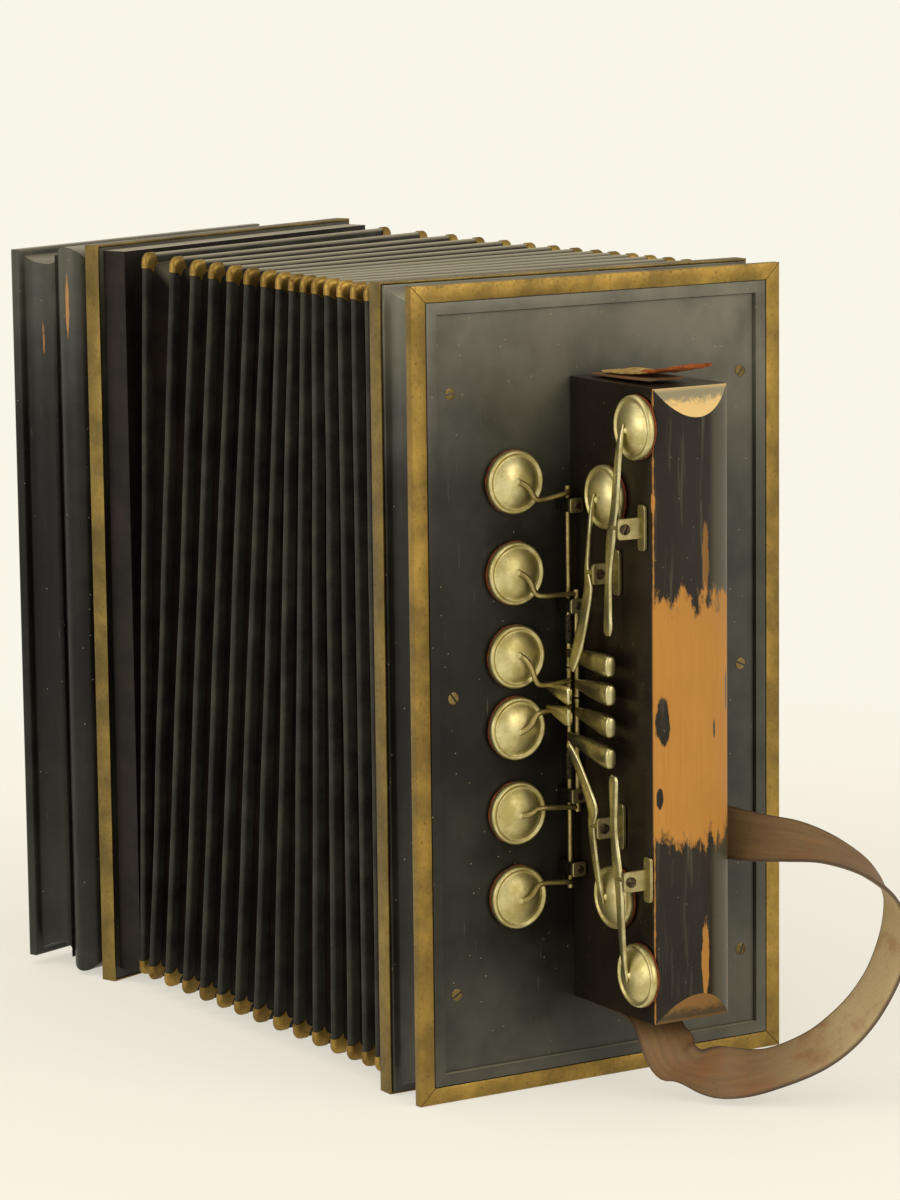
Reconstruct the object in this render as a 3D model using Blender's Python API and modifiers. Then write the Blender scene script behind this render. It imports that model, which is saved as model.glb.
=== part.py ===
"""A small button accordion, bellows drawn open like a fan, built piece by piece in metres.

The bass end stands square to the axes: +X is its outward face, -Y its front, +Z up.
The treble end is turned about Z by FAN_ANGLE, and 15 folds fill the fan between them.
"""

import math

import bmesh
import bpy
from mathutils import Matrix, Vector

# Overall sizes
END_WIDTH = 0.150
END_HEIGHT = 0.280
GAP = 0.0003
TRIM_THICK = 0.0007

# Bass end
BASS_DEPTH = 0.027
BASS_WALL = 0.014
BRASS_FACE = 0.0057
BRASS_SIDE = 0.0036
BASS_BAND = 0.0070
BORDER = 0.0044
PANEL_RECESS = 0.0016
PANEL_THICK = 0.0040
BASS_COVE_DEPTH = 0.0050

# Treble end
TREBLE_DEPTH = 0.048
TREBLE_BAND = 0.0065
TREBLE_INSET = 0.0035
TREBLE_WALL = 0.016
COVER_THICK = 0.0040
FAN_ANGLE = math.radians(21.2)
TREBLE_SHIFT_X = -0.2477
TREBLE_SHIFT_Y = -0.0102

# Bellows
FOLDS = 15
FOLD_DEPTH = 0.018
CARD = 0.0016
FOLD_INSET = 0.0030
FOLD_FOOT = 0.0055
FOLD_SPREAD = 0.60
FOLD_LEAN = math.radians(4.8)
CREST = 0.0011
CAP_REACH = 0.0050
CAP_PROUD = 0.0006
CORNER_CUT = 0.0022
BELLOWS_FRAME_BASS = 0.0030
BELLOWS_FRAME_TREBLE = 0.0100

# Hand box on the bass panel
BOX_LENGTH = 0.216
BOX_WIDTH = 0.030
BOX_HEIGHT = 0.050
BOX_CROWN = 0.0048
BOX_WALL = 0.0055
BOX_CENTRE_Y = 0.0034
BOX_CENTRE_Z = 0.138
BOX_CHAMFER = 0.0100

# Pads, levers and keys
PAD_RADIUS = 0.0109
PAD_FELT = 0.0018
PAD_RISE = 0.0040
HOLE_RADIUS = 0.0075
WIRE_RADIUS = 0.0009
AXLE_RADIUS = 0.0009
LOWER_AXLE_X = 0.0042
LOWER_AXLE_OFF_BOX = 0.0047
UPPER_AXLE_X = 0.0066
UPPER_AXLE_OFF_BOX = 0.0030
COIL_RADIUS = 0.0015
COIL_LENGTH = 0.0100
LEVER_OFF_BOX = 0.0078
LEVER_THICK = 0.0014
BRACKET_FOOT = 0.0155
PANEL_PAD_Y = -0.0352
POST_WIDTH = 0.0052
POST_DEPTH = 0.0056
KEY_TIP_X = 0.0335
KEY_LEAN = 0.0022
TOUCH_TIP_X = 0.0180
TOUCH_OFF_AXLE = 0.0087
KEY_END_TALL = 0.0075
KEY_END_WIDE = 0.0042

# Leather strap
STRAP_WIDTH = 0.018
STRAP_THICK = 0.0018

# Fingerboard and treble buttons
BUTTONS = 10
BUTTON_PITCH = 0.0195
BUTTON_RADIUS = 0.0055
BUTTON_RISE = 0.0055
STEM_RADIUS = 0.0022
FINGERBOARD_WIDTH = 0.028
FINGERBOARD_HEIGHT = 0.017
FINGERBOARD_OFFSET = 0.044
FINGERBOARD_LENGTH = 0.222

PANEL_FACE = -PANEL_RECESS
BOX_BACK = PANEL_FACE + GAP
BOX_FRONT = BOX_BACK + BOX_HEIGHT
BOX_SIDE = BOX_CENTRE_Y - BOX_WIDTH / 2
BOX_BOTTOM = BOX_CENTRE_Z - BOX_LENGTH / 2
BOX_TOP = BOX_CENTRE_Z + BOX_LENGTH / 2
LOWER_AXLE = (LOWER_AXLE_X, BOX_SIDE - LOWER_AXLE_OFF_BOX)
UPPER_AXLE = (UPPER_AXLE_X, BOX_SIDE - UPPER_AXLE_OFF_BOX)
LEVER_Y = BOX_SIDE - LEVER_OFF_BOX


# Six panel keys: heights of pad, arm's elbow and end, axle stretch, finger piece's root and tip, coil spring
ROD_KEYS = {
    "bass_rod_key_1": {
        "axle": LOWER_AXLE, "pad": 0.2117, "elbow": 0.2057, "arm": 0.2077, "rod": (0.1472, 0.2095),
        "key": (0.1520, 0.1514), "coil": 0.1550,
    },
    "bass_rod_key_2": {
        "axle": UPPER_AXLE, "pad": 0.1805, "elbow": 0.1728, "arm": 0.1725, "rod": (0.1368, 0.1740),
        "key": (0.1414, 0.1416),
    },
    "bass_rod_key_3": {
        "axle": LOWER_AXLE, "pad": 0.1519, "elbow": 0.1421, "arm": 0.1426, "rod": (0.1378, 0.1467),
        "touch": (0.1410, 0.1397),
    },
    "bass_rod_key_4": {
        "axle": LOWER_AXLE, "pad": 0.1271, "elbow": 0.1330, "arm": 0.1335, "rod": (0.1285, 0.1373),
        "touch": (0.1340, 0.1322),
    },
    "bass_rod_key_5": {
        "axle": UPPER_AXLE, "pad": 0.0977, "elbow": 0.0996, "arm": 0.0984, "rod": (0.0970, 0.1362),
        "key": (0.1318, 0.1306),
    },
    "bass_rod_key_6": {
        "axle": LOWER_AXLE, "pad": 0.0683, "elbow": 0.0733, "arm": 0.0722, "rod": (0.0700, 0.1280),
        "key": (0.1230, 0.1198), "coil": 0.1079,
    },
}
POST_HEIGHTS = {"rod_post_1": 0.2030, "rod_post_2": 0.1685, "rod_post_3": 0.1026, "rod_post_4": 0.0770}
# Four side levers: pad centre, pivot, and the line from pad to finger end as (x, z, width, outward bend)
SIDE_LEVERS = {
    "bass_lever_1": {
        "pad": (0.0411, 0.2326),
        "pivot": (0.0362, 0.1992),
        "line": (
            (0.0411, 0.2342, 0.0010, 0.0004),
            (0.0400, 0.2250, 0.0032, 0.0),
            (0.0378, 0.2060, 0.0042, 0.0),
            (0.0362, 0.1992, 0.0044, 0.0),
            (0.0352, 0.1945, 0.0050, 0.0),
            (0.0338, 0.1830, 0.0034, 0.0),
            (0.0338, 0.1705, 0.0042, 0.0003),
            (0.0341, 0.1645, 0.0046, 0.0006),
            (0.0344, 0.1622, 0.0026, 0.0007),
        ),
    },
    "bass_lever_2": {
        "pad": (0.0231, 0.2074),
        "pivot": (0.0208, 0.1823),
        "line": (
            (0.0231, 0.2090, 0.0010, 0.0004),
            (0.0225, 0.2000, 0.0015, 0.0),
            (0.0212, 0.1880, 0.0016, 0.0),
            (0.0208, 0.1823, 0.0028, 0.0),
            (0.0214, 0.1765, 0.0046, 0.0),
            (0.0200, 0.1680, 0.0052, 0.0007),
            (0.0183, 0.1590, 0.0056, 0.0017),
            (0.0166, 0.1515, 0.0044, 0.0028),
            (0.0158, 0.1479, 0.0018, 0.0032),
        ),
    },
    "bass_lever_3": {
        "pad": (0.0274, 0.0706),
        "pivot": (0.0226, 0.0955),
        "line": (
            (0.0274, 0.0690, 0.0010, 0.0004),
            (0.0262, 0.0770, 0.0028, 0.0),
            (0.0236, 0.0880, 0.0036, 0.0),
            (0.0226, 0.0955, 0.0040, 0.0),
            (0.0232, 0.1010, 0.0058, 0.0),
            (0.0203, 0.1080, 0.0048, 0.0006),
            (0.0167, 0.1150, 0.0044, 0.0015),
            (0.0137, 0.1202, 0.0036, 0.0024),
            (0.0124, 0.1225, 0.0018, 0.0028),
        ),
    },
    "bass_lever_4": {
        "pad": (0.0415, 0.0461),
        "pivot": (0.0388, 0.0799),
        "line": (
            (0.0415, 0.0445, 0.0010, 0.0004),
            (0.0408, 0.0560, 0.0032, 0.0),
            (0.0396, 0.0720, 0.0042, 0.0),
            (0.0388, 0.0799, 0.0044, 0.0),
            (0.0376, 0.0850, 0.0050, 0.0),
            (0.0362, 0.0960, 0.0036, 0.0),
            (0.0365, 0.1080, 0.0046, 0.0003),
            (0.0370, 0.1130, 0.0048, 0.0006),
            (0.0373, 0.1150, 0.0028, 0.0007),
        ),
    },
}
# The loose strap's middle line and the way its width points, from under the box round to behind it
STRAP_ROUTE = (
    ((0.0060, 0.0010, 0.0282), (0.0, -1.0, 0.0)),
    ((0.0200, 0.0006, 0.0281), (0.0, -1.0, 0.0)),
    ((0.0320, -0.0007, 0.0267), (-0.1, -1.0, 0.0)),
    ((0.0410, -0.0024, 0.0218), (-0.50, -0.86, 0.08)),
    ((0.0465, -0.0010, 0.0152), (-0.66, -0.68, -0.06)),
    ((0.0500, 0.0068, 0.0116), (-0.52, -0.62, -0.42)),
    ((0.0548, 0.0165, 0.0100), (0.10, -0.68, -0.66)),
    ((0.0612, 0.0268, 0.0112), (0.56, -0.50, -0.60)),
    ((0.0700, 0.0380, 0.0172), (0.80, -0.24, -0.50)),
    ((0.0770, 0.0456, 0.0252), (0.90, -0.10, -0.40)),
    ((0.0823, 0.0518, 0.0349), (0.98, 0.0, -0.12)),
    ((0.0857, 0.0575, 0.0470), (1.0, 0.0, 0.05)),
    ((0.0870, 0.0606, 0.0600), (1.0, -0.12, 0.02)),
    ((0.0856, 0.0592, 0.0715), (0.90, -0.36, 0.04)),
    ((0.0800, 0.0535, 0.0806), (0.74, -0.64, -0.04)),
    ((0.0710, 0.0456, 0.0862), (0.64, -0.68, -0.26)),
    ((0.0590, 0.0380, 0.0884), (0.60, -0.52, -0.56)),
    ((0.0468, 0.0320, 0.0884), (0.56, -0.38, -0.70)),
    ((0.0344, 0.0276, 0.0888), (0.42, -0.28, -0.84)),
    ((0.0170, 0.0244, 0.0896), (0.18, -0.14, -0.96)),
)
STUB_ROUTE = (
    (0.0050, 0.0006), (0.0160, 0.0006), (0.0270, 0.0010), (0.0360, 0.0022), (0.0440, 0.0042), (0.0500, 0.0056),
)

COLOURS = {
    "black_lacquer": ((0.012, 0.012, 0.011), 0.32, 0.0),
    "bellows_cloth": ((0.020, 0.019, 0.016), 0.75, 0.0),
    "brass": ((0.42, 0.29, 0.11), 0.42, 1.0),
    "nickel_silver": ((0.62, 0.57, 0.40), 0.34, 1.0),
    "bare_wood": ((0.45, 0.24, 0.09), 0.62, 0.0),
    "leather": ((0.13, 0.085, 0.055), 0.70, 0.0),
    "bone": ((0.72, 0.66, 0.50), 0.40, 0.0),
    "steel": ((0.35, 0.34, 0.31), 0.40, 1.0),
}


def clear_scene():
    for obj in list(bpy.data.objects):
        bpy.data.objects.remove(obj, do_unlink=True)


def new_collection(name):
    collection = bpy.data.collections.new(name)
    bpy.context.scene.collection.children.link(collection)
    return collection


def make_material(name, key):
    colour, roughness, metallic = COLOURS[key]
    material = bpy.data.materials.new(name + "_" + key)
    material.use_nodes = True
    shader = material.node_tree.nodes["Principled BSDF"]
    shader.inputs["Base Color"].default_value = (*colour, 1.0)
    shader.inputs["Roughness"].default_value = roughness
    shader.inputs["Metallic"].default_value = metallic
    material.diffuse_color = (*colour, 1.0)
    return material


def add_object(name, mesh, key, smooth=35.0):
    """Links a mesh as a finished piece with its own material."""
    obj = bpy.data.objects.new(name, mesh)
    PARTS.objects.link(obj)
    mesh.materials.append(make_material(name, key))
    mesh.shade_smooth()
    mesh.set_sharp_from_angle(angle=math.radians(smooth))
    return obj


def add_cutter(name, mesh):
    obj = bpy.data.objects.new(name, mesh)
    CUTTERS.objects.link(obj)
    obj.hide_render = True
    obj.display_type = "WIRE"
    return obj


def mesh_from(bm, name):
    bmesh.ops.recalc_face_normals(bm, faces=bm.faces)
    mesh = bpy.data.meshes.new(name)
    bm.to_mesh(mesh)
    bm.free()
    return mesh


def box_mesh(name, low, high, bevel=0.0):
    """A block between two corners, with its edges eased by an optional bevel."""
    bm = bmesh.new()
    bmesh.ops.create_cube(bm, size=1.0)
    size = Vector(high) - Vector(low)
    middle = (Vector(high) + Vector(low)) / 2
    bmesh.ops.scale(bm, vec=size, verts=bm.verts)
    bmesh.ops.translate(bm, vec=middle, verts=bm.verts)
    if bevel:
        bmesh.ops.bevel(bm, geom=bm.edges[:], offset=bevel, segments=1, affect="EDGES")
    return mesh_from(bm, name)


def cylinder_mesh(name, radius, start, end, sides=16, top_radius=None):
    """A round bar or cone between two points."""
    bm = bmesh.new()
    start = Vector(start)
    end = Vector(end)
    run = end - start
    top = radius if top_radius is None else top_radius
    bmesh.ops.create_cone(
        bm, cap_ends=True, segments=sides, radius1=radius, radius2=top, depth=run.length
    )
    turn = run.to_track_quat("Z", "Y").to_matrix().to_4x4()
    bmesh.ops.transform(bm, matrix=Matrix.Translation((start + end) / 2) @ turn, verts=bm.verts)
    return mesh_from(bm, name)


def loft_mesh(name, rings, closed_ends):
    """Joins rings of equal point counts with quads; the loft gets two caps, or else closes on itself."""
    bm = bmesh.new()
    rows = [[bm.verts.new(point) for point in ring] for ring in rings]
    count = len(rows[0])
    pairs = list(zip(rows, rows[1:]))
    if not closed_ends:
        pairs.append((rows[-1], rows[0]))
    for first, second in pairs:
        for i in range(count):
            j = (i + 1) % count
            bm.faces.new((first[i], first[j], second[j], second[i]))
    if closed_ends:
        bm.faces.new(rows[0][::-1])
        bm.faces.new(rows[-1])
    return mesh_from(bm, name)


def extruded_mesh(name, outline, low, high, axis):
    """A flat outline pulled straight along one axis, from low to high."""
    if axis == "X":
        rings = [[(level, a, b) for a, b in outline] for level in (low, high)]
    else:
        rings = [[(a, b, level) for a, b in outline] for level in (low, high)]
    return loft_mesh(name, rings, True)


def turned_mesh(name, profile, steps):
    """Turns a profile of (radius, height) about Z with a Screw modifier; both ends lie on the axis."""
    bm = bmesh.new()
    verts = [bm.verts.new((radius, 0.0, height)) for radius, height in profile]
    for first, second in zip(verts, verts[1:]):
        bm.edges.new((first, second))
    mesh = bpy.data.meshes.new(name)
    bm.to_mesh(mesh)
    bm.free()
    obj = add_cutter(name + "_profile", mesh)
    screw = obj.modifiers.new("turn", "SCREW")
    screw.steps = steps
    screw.render_steps = steps
    screw.use_merge_vertices = True
    screw.merge_threshold = 0.00005
    screw.use_normal_calculate = True
    return evaluated_mesh(obj, name)


def evaluated_mesh(obj, name):
    """Freezes an object's evaluated shape as a plain mesh and removes the object."""
    bpy.context.view_layer.update()
    graph = bpy.context.evaluated_depsgraph_get()
    mesh = bpy.data.meshes.new_from_object(obj.evaluated_get(graph))
    mesh.name = name
    mesh.transform(obj.matrix_world)
    bm = bmesh.new()
    bm.from_mesh(mesh)
    bmesh.ops.remove_doubles(bm, verts=bm.verts, dist=0.00001)
    bmesh.ops.recalc_face_normals(bm, faces=bm.faces)
    bm.to_mesh(mesh)
    bm.free()
    mesh.materials.clear()
    bpy.data.objects.remove(obj, do_unlink=True)
    return mesh


def wire_mesh(name, points, radius):
    """A bent wire: a poly curve with a round bevel and filled caps."""
    curve = bpy.data.curves.new(name, "CURVE")
    curve.dimensions = "3D"
    spline = curve.splines.new("POLY")
    spline.points.add(len(points) - 1)
    for target, point in zip(spline.points, points):
        target.co = (*point, 1.0)
    curve.bevel_depth = radius
    curve.bevel_resolution = 2
    curve.use_fill_caps = True
    obj = bpy.data.objects.new(name, curve)
    CUTTERS.objects.link(obj)
    obj.hide_render = True
    return evaluated_mesh(obj, name)


def boolean(obj, mesh, operation):
    """Adds to, or cuts from, a piece with another mesh and keeps the modifier's tool in the cutters."""
    tool = add_cutter(f"{obj.name}_tool_{len(obj.modifiers)}", mesh)
    tool.parent = obj.parent
    modifier = obj.modifiers.new(operation.lower(), "BOOLEAN")
    modifier.operation = operation
    modifier.solver = "EXACT"
    modifier.object = tool
    return tool


def apply_all(obj):
    """Bakes a piece's modifiers into its mesh, so that its parts are one body, and drops the tools."""
    tools = [modifier.object for modifier in obj.modifiers if modifier.type == "BOOLEAN"]
    bpy.context.view_layer.update()
    graph = bpy.context.evaluated_depsgraph_get()
    mesh = bpy.data.meshes.new_from_object(obj.evaluated_get(graph))
    old = obj.data
    obj.modifiers.clear()
    obj.data = mesh
    mesh.name = old.name
    for tool in tools:
        bpy.data.objects.remove(tool, do_unlink=True)


def arc(centre, radius, start, end, steps):
    """Points on an arc in a plane, from one angle in degrees to another."""
    points = []
    for i in range(steps + 1):
        angle = math.radians(start + (end - start) * i / steps)
        points.append((centre[0] + radius * math.cos(angle), centre[1] + radius * math.sin(angle)))
    return points


def mitred_frame(name, profile, width, height, key, place=None):
    """A picture-frame moulding, mitred at four corners: each profile point is (x, inset from the edge)."""
    place = place or Matrix.Identity(4)
    rings = []
    for side_y, side_z in ((-1, -1), (1, -1), (1, 1), (-1, 1)):
        ring = []
        for x, inset in profile:
            y = side_y * (width / 2 - inset)
            z = height / 2 + side_z * (height / 2 - inset)
            ring.append(place @ Vector((x, y, z)))
        rings.append(ring)
    return add_object(name, loft_mesh(name, rings, False), key, 25.0)


def treble_place():
    """The treble end's own frame: its +X looks along the bellows to the bass end."""
    shift = Matrix.Translation((TREBLE_SHIFT_X, TREBLE_SHIFT_Y, 0.0))
    return shift @ Matrix.Rotation(FAN_ANGLE, 4, "Z")


def smooth_step(value):
    value = min(1.0, max(0.0, value))
    return value * value * (3 - 2 * value)


def fold_share(u):
    """How far along the bellows the u-th share of the folds reaches: tight by the bass, wide by the treble."""
    return u + FOLD_SPREAD * (u * u - u) / 2


def bellows_ends():
    """The middles of the two planes that the folds run between, at floor level."""
    bass = Vector((-BASS_DEPTH - BELLOWS_FRAME_BASS - GAP, 0.0, 0.0))
    front = TREBLE_BAND / 2 + BELLOWS_FRAME_TREBLE + 2 * GAP
    treble = treble_place() @ Vector((front, 0.0, 0.0))
    return bass, treble


def fold_plane(u):
    """The bellows' cross-section at share u: its middle, its turn about Z and its top's lean to the bass."""
    bass, treble = bellows_ends()
    share = fold_share(u)
    middle = bass.lerp(treble, share)
    height = END_HEIGHT / 2 + (FOLD_FOOT - FOLD_INSET) / 2
    middle.z = height
    lean = FOLD_LEAN * smooth_step((share - 0.08) / 0.42) * (1 - share**12)
    turn = Matrix.Rotation(FAN_ANGLE * share, 4, "Z") @ Matrix.Rotation(lean, 4, "Y")
    return Matrix.Translation(middle) @ turn


def fold_half_sizes():
    half_width = END_WIDTH / 2 - FOLD_INSET
    half_height = (END_HEIGHT - FOLD_FOOT - FOLD_INSET / 3) / 2
    return half_width, half_height


def hinge_point(u):
    """The pole that the bellows turns about at share u, out in front where the fan's planes meet."""
    bass, treble = bellows_ends()
    run = treble - bass
    radius = run.length / FAN_ANGLE
    point = bass.lerp(treble, fold_share(u)) + Vector((-run.y, run.x, 0.0)).normalized() * radius
    return point


def fold_ring(index):
    """One fold: card walls from valley to ridge to valley round four corners, with a metal cap on each."""
    half_width, half_height = fold_half_sizes()
    before = fold_plane((index - 1) / FOLDS)
    ridge = fold_plane((index - 0.5) / FOLDS)
    after = fold_plane(index / FOLDS)
    valley = FOLD_DEPTH
    inner_ridge = CARD * 2.6
    half_gap = GAP / 2

    def section(capped):
        proud = CAP_PROUD if capped else 0.0
        wrap = 2.6 * CREST if capped else CREST
        sink = 0.0034 if capped else 0.0012
        return (
            (before, -half_gap, valley),
            (ridge, wrap, sink - proud),
            (ridge, 0.0, -proud),
            (ridge, -wrap, sink - proud),
            (after, half_gap, valley),
            (after, half_gap, valley + CARD),
            (ridge, 0.0, inner_ridge),
            (before, -half_gap, valley + CARD),
        )

    rings = []
    for side_y, side_z in ((-1, -1), (1, -1), (1, 1), (-1, 1)):
        stations = (
            (0.0, CAP_REACH + 0.0006, False), (0.0, CAP_REACH, True), (0.0, CORNER_CUT, True),
            (CORNER_CUT, 0.0, True), (CAP_REACH, 0.0, True), (CAP_REACH + 0.0006, 0.0, False),
        )
        if side_y * side_z < 0:
            stations = tuple((back, along, capped) for along, back, capped in stations)
        for cut_y, cut_z, capped in stations:
            ring = []
            for plane, offset, inset in section(capped):
                y = side_y * (half_width - inset - cut_y)
                z = side_z * (half_height - inset - cut_z)
                ring.append(plane @ Vector((offset, y, z)))
            rings.append(ring)
    name = f"bellows_fold_{index:02d}"
    fold = add_object(name, loft_mesh(name, rings, False), "bellows_cloth", 40.0)
    on_axis(fold, hinge_point((index - 1) / FOLDS))


def make_bass_end():
    step = TRIM_THICK + GAP
    wood = step
    cove_start = BRASS_SIDE + 0.0016
    cove_end = BASS_DEPTH - BASS_BAND - 0.0010
    cove_middle = (cove_start + cove_end) / 2
    cove_half = (cove_end - cove_start) / 2
    cove = []
    for i in range(7):
        angle = math.radians(180 * i / 6)
        cove.append((-(cove_middle - cove_half * math.cos(angle)), wood + BASS_COVE_DEPTH * math.sin(angle)))
    ledge = -(PANEL_RECESS + PANEL_THICK + GAP)
    profile = [
        (ledge, BASS_WALL), (ledge, BRASS_FACE + BORDER), (0.0, BRASS_FACE + BORDER),
        (0.0, BRASS_FACE + GAP), (-step, BRASS_FACE + GAP), (-step, step), (-BRASS_SIDE - GAP, step),
        *cove, (-BASS_DEPTH, wood), (-BASS_DEPTH, BASS_WALL),
    ]
    mitred_frame("bass_frame", profile, END_WIDTH, END_HEIGHT, "black_lacquer")
    angle_strip = [
        (0.0, 0.0), (0.0, BRASS_FACE), (-TRIM_THICK, BRASS_FACE), (-TRIM_THICK, TRIM_THICK),
        (-BRASS_SIDE, TRIM_THICK), (-BRASS_SIDE, 0.0),
    ]
    mitred_frame("bass_brass_edge", angle_strip, END_WIDTH, END_HEIGHT, "brass")
    band_start = -(BASS_DEPTH - BASS_BAND)
    band = [(band_start, 0.0), (band_start, TRIM_THICK), (-BASS_DEPTH, TRIM_THICK), (-BASS_DEPTH, 0.0)]
    mitred_frame("bass_brass_band", band, END_WIDTH, END_HEIGHT, "brass")
    front = -BASS_DEPTH - GAP
    back = front - BELLOWS_FRAME_BASS + GAP
    inset = FOLD_INSET + FOLD_DEPTH * 0.35
    inner = FOLD_INSET + FOLD_DEPTH + CARD
    frame = [(front, inset), (front, inner), (back, inner), (back, inset)]
    mitred_frame("bass_bellows_frame", frame, END_WIDTH, END_HEIGHT, "black_lacquer")


def make_bass_panel():
    inset = BRASS_FACE + BORDER + GAP
    back = PANEL_FACE - PANEL_THICK
    low = (back, -END_WIDTH / 2 + inset, inset)
    high = (PANEL_FACE, END_WIDTH / 2 - inset, END_HEIGHT - inset)
    panel = add_object("bass_panel", box_mesh("bass_panel", low, high), "black_lacquer")
    for key in ROD_KEYS.values():
        centre = (0.0, PANEL_PAD_Y, key["pad"])
        hole = cylinder_mesh("hole", HOLE_RADIUS, (back - 0.002, *centre[1:]), (0.002, *centre[1:]), 14)
        boolean(panel, hole, "DIFFERENCE")
    slot = box_mesh(
        "slot",
        (back - 0.002, BOX_CENTRE_Y - 0.007, BOX_BOTTOM + 0.014),
        (0.002, BOX_CENTRE_Y + 0.007, BOX_TOP - 0.014),
    )
    boolean(panel, slot, "DIFFERENCE")
    apply_all(panel)


def make_bass_reeds():
    """Reed block behind the bass panel: a tapered wooden block with a reed plate on each face."""
    back = PANEL_FACE - PANEL_THICK - GAP
    depth = 0.034
    low = 0.052
    high = END_HEIGHT - 0.052
    wide = 0.013
    narrow = 0.009
    outline = [(back, -wide), (back, wide), (back - depth, narrow), (back - depth, -narrow)]
    mesh = extruded_mesh("bass_reed_block", outline, low, high, "Z")
    mesh.transform(Matrix.Translation((0.0, -0.012, 0.0)))
    block = add_object("bass_reed_block", mesh, "bare_wood")
    foot = box_mesh("foot", (back - 0.004, -0.046, low + 0.010), (back, 0.022, high - 0.010))
    boolean(block, foot, "UNION")
    pitch = (high - low) / 6
    for i in range(6):
        z = low + pitch * (i + 0.5)
        plate = box_mesh(
            "plate", (back - depth + 0.004, -0.012 - wide - 0.0008, z - pitch * 0.42),
            (back - 0.008, -0.012 + wide + 0.0008, z + pitch * 0.42),
        )
        boolean(block, plate, "UNION")
    apply_all(block)


def crown_outline(half_width, base, edge, rise, steps):
    """The hand box's cross-section: straight sides and a crowned front."""
    radius = (half_width**2 + rise**2) / (2 * rise)
    half_angle = math.degrees(math.asin(half_width / radius))
    centre = edge + rise - radius
    curve = arc((centre, 0.0), radius, half_angle, -half_angle, steps)
    return [(base, -half_width), *curve[::-1], (base, half_width)]


def make_hand_box():
    outline = crown_outline(BOX_WIDTH / 2, BOX_BACK, BOX_FRONT, BOX_CROWN, 10)
    mesh = extruded_mesh("hand_box", outline, BOX_BOTTOM, BOX_TOP, "Z")
    mesh.transform(Matrix.Translation((0.0, BOX_CENTRE_Y, 0.0)))
    box = add_object("hand_box", mesh, "black_lacquer", 20.0)
    reach = 0.003
    for end, sign in ((BOX_TOP, 1), (BOX_BOTTOM, -1)):
        slope = BOX_CROWN / BOX_CHAMFER
        wedge = [
            (BOX_FRONT - reach * slope, end + sign * reach), (BOX_FRONT + BOX_CROWN * 1.5, end + sign * reach),
            (BOX_FRONT + BOX_CROWN * 1.5, end - sign * 1.5 * BOX_CHAMFER),
        ]
        cut = [
            [(x, y, z) for x, z in wedge]
            for y in (BOX_SIDE - reach, BOX_SIDE + BOX_WIDTH + reach)
        ]
        boolean(box, loft_mesh("chamfer", cut, True), "DIFFERENCE")
    hollow = box_mesh(
        "hollow",
        (BOX_BACK - reach, BOX_SIDE + BOX_WALL, BOX_BOTTOM + 2 * BOX_WALL),
        (BOX_FRONT - BOX_WALL, BOX_SIDE + BOX_WIDTH - BOX_WALL, BOX_TOP - 2 * BOX_WALL),
    )
    boolean(box, hollow, "DIFFERENCE")
    for lever in SIDE_LEVERS.values():
        x, z = lever["pad"]
        inside = BOX_SIDE + BOX_WALL + reach
        hole = cylinder_mesh("hole", HOLE_RADIUS, (x, BOX_SIDE - reach, z), (x, inside, z), 14)
        boolean(box, hole, "DIFFERENCE")
    apply_all(box)


def pad_profile():
    """Leather disc with a pressed metal cap: raised rim, shallow groove and a dome."""
    rim = PAD_FELT + 0.0012
    top = PAD_FELT + PAD_RISE
    return [
        (0.0, top), (PAD_RADIUS * 0.36, top - 0.0005), (PAD_RADIUS * 0.68, top - 0.0019),
        (PAD_RADIUS * 0.86, rim - 0.0002), (PAD_RADIUS * 0.94, rim + 0.0003),
        (PAD_RADIUS, PAD_FELT - 0.0002), (PAD_RADIUS * 0.97, 0.0), (0.0, 0.0),
    ]


def pad_mesh(name, centre, toward):
    """A pad that lies at a point and faces along a direction."""
    mesh = turned_mesh(name, pad_profile(), 16)
    turn = Vector(toward).to_track_quat("Z", "Y").to_matrix().to_4x4()
    mesh.transform(Matrix.Translation(centre) @ turn)
    return mesh


def on_axis(obj, point):
    """Puts a piece's origin on its joint's axis without moving its shape."""
    obj.data.transform(Matrix.Translation(-Vector(point)))
    obj.location = point


def finger_piece(name, start, end, root, tip):
    """A pressed-metal key: narrow at the axle, widening to a square end."""
    start = Vector(start)
    end = Vector(end)
    along = (end - start).normalized()
    across = along.cross(Vector((0, 0, 1))).normalized()
    rings = []
    for point, (wide, tall) in ((start, root), (start.lerp(end, 0.72), (tip[0] * 0.86, tip[1] * 0.84)), (end, tip)):
        rings.append([
            point + across * (wide / 2 * a) + Vector((0, 0, tall / 2 * b))
            for a, b in ((-1, -0.7), (-0.7, -1), (0.7, -1), (1, -0.7), (1, 0.7), (0.7, 1), (-0.7, 1), (-1, 0.7))
        ])
    return loft_mesh(name, rings, True)


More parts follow.
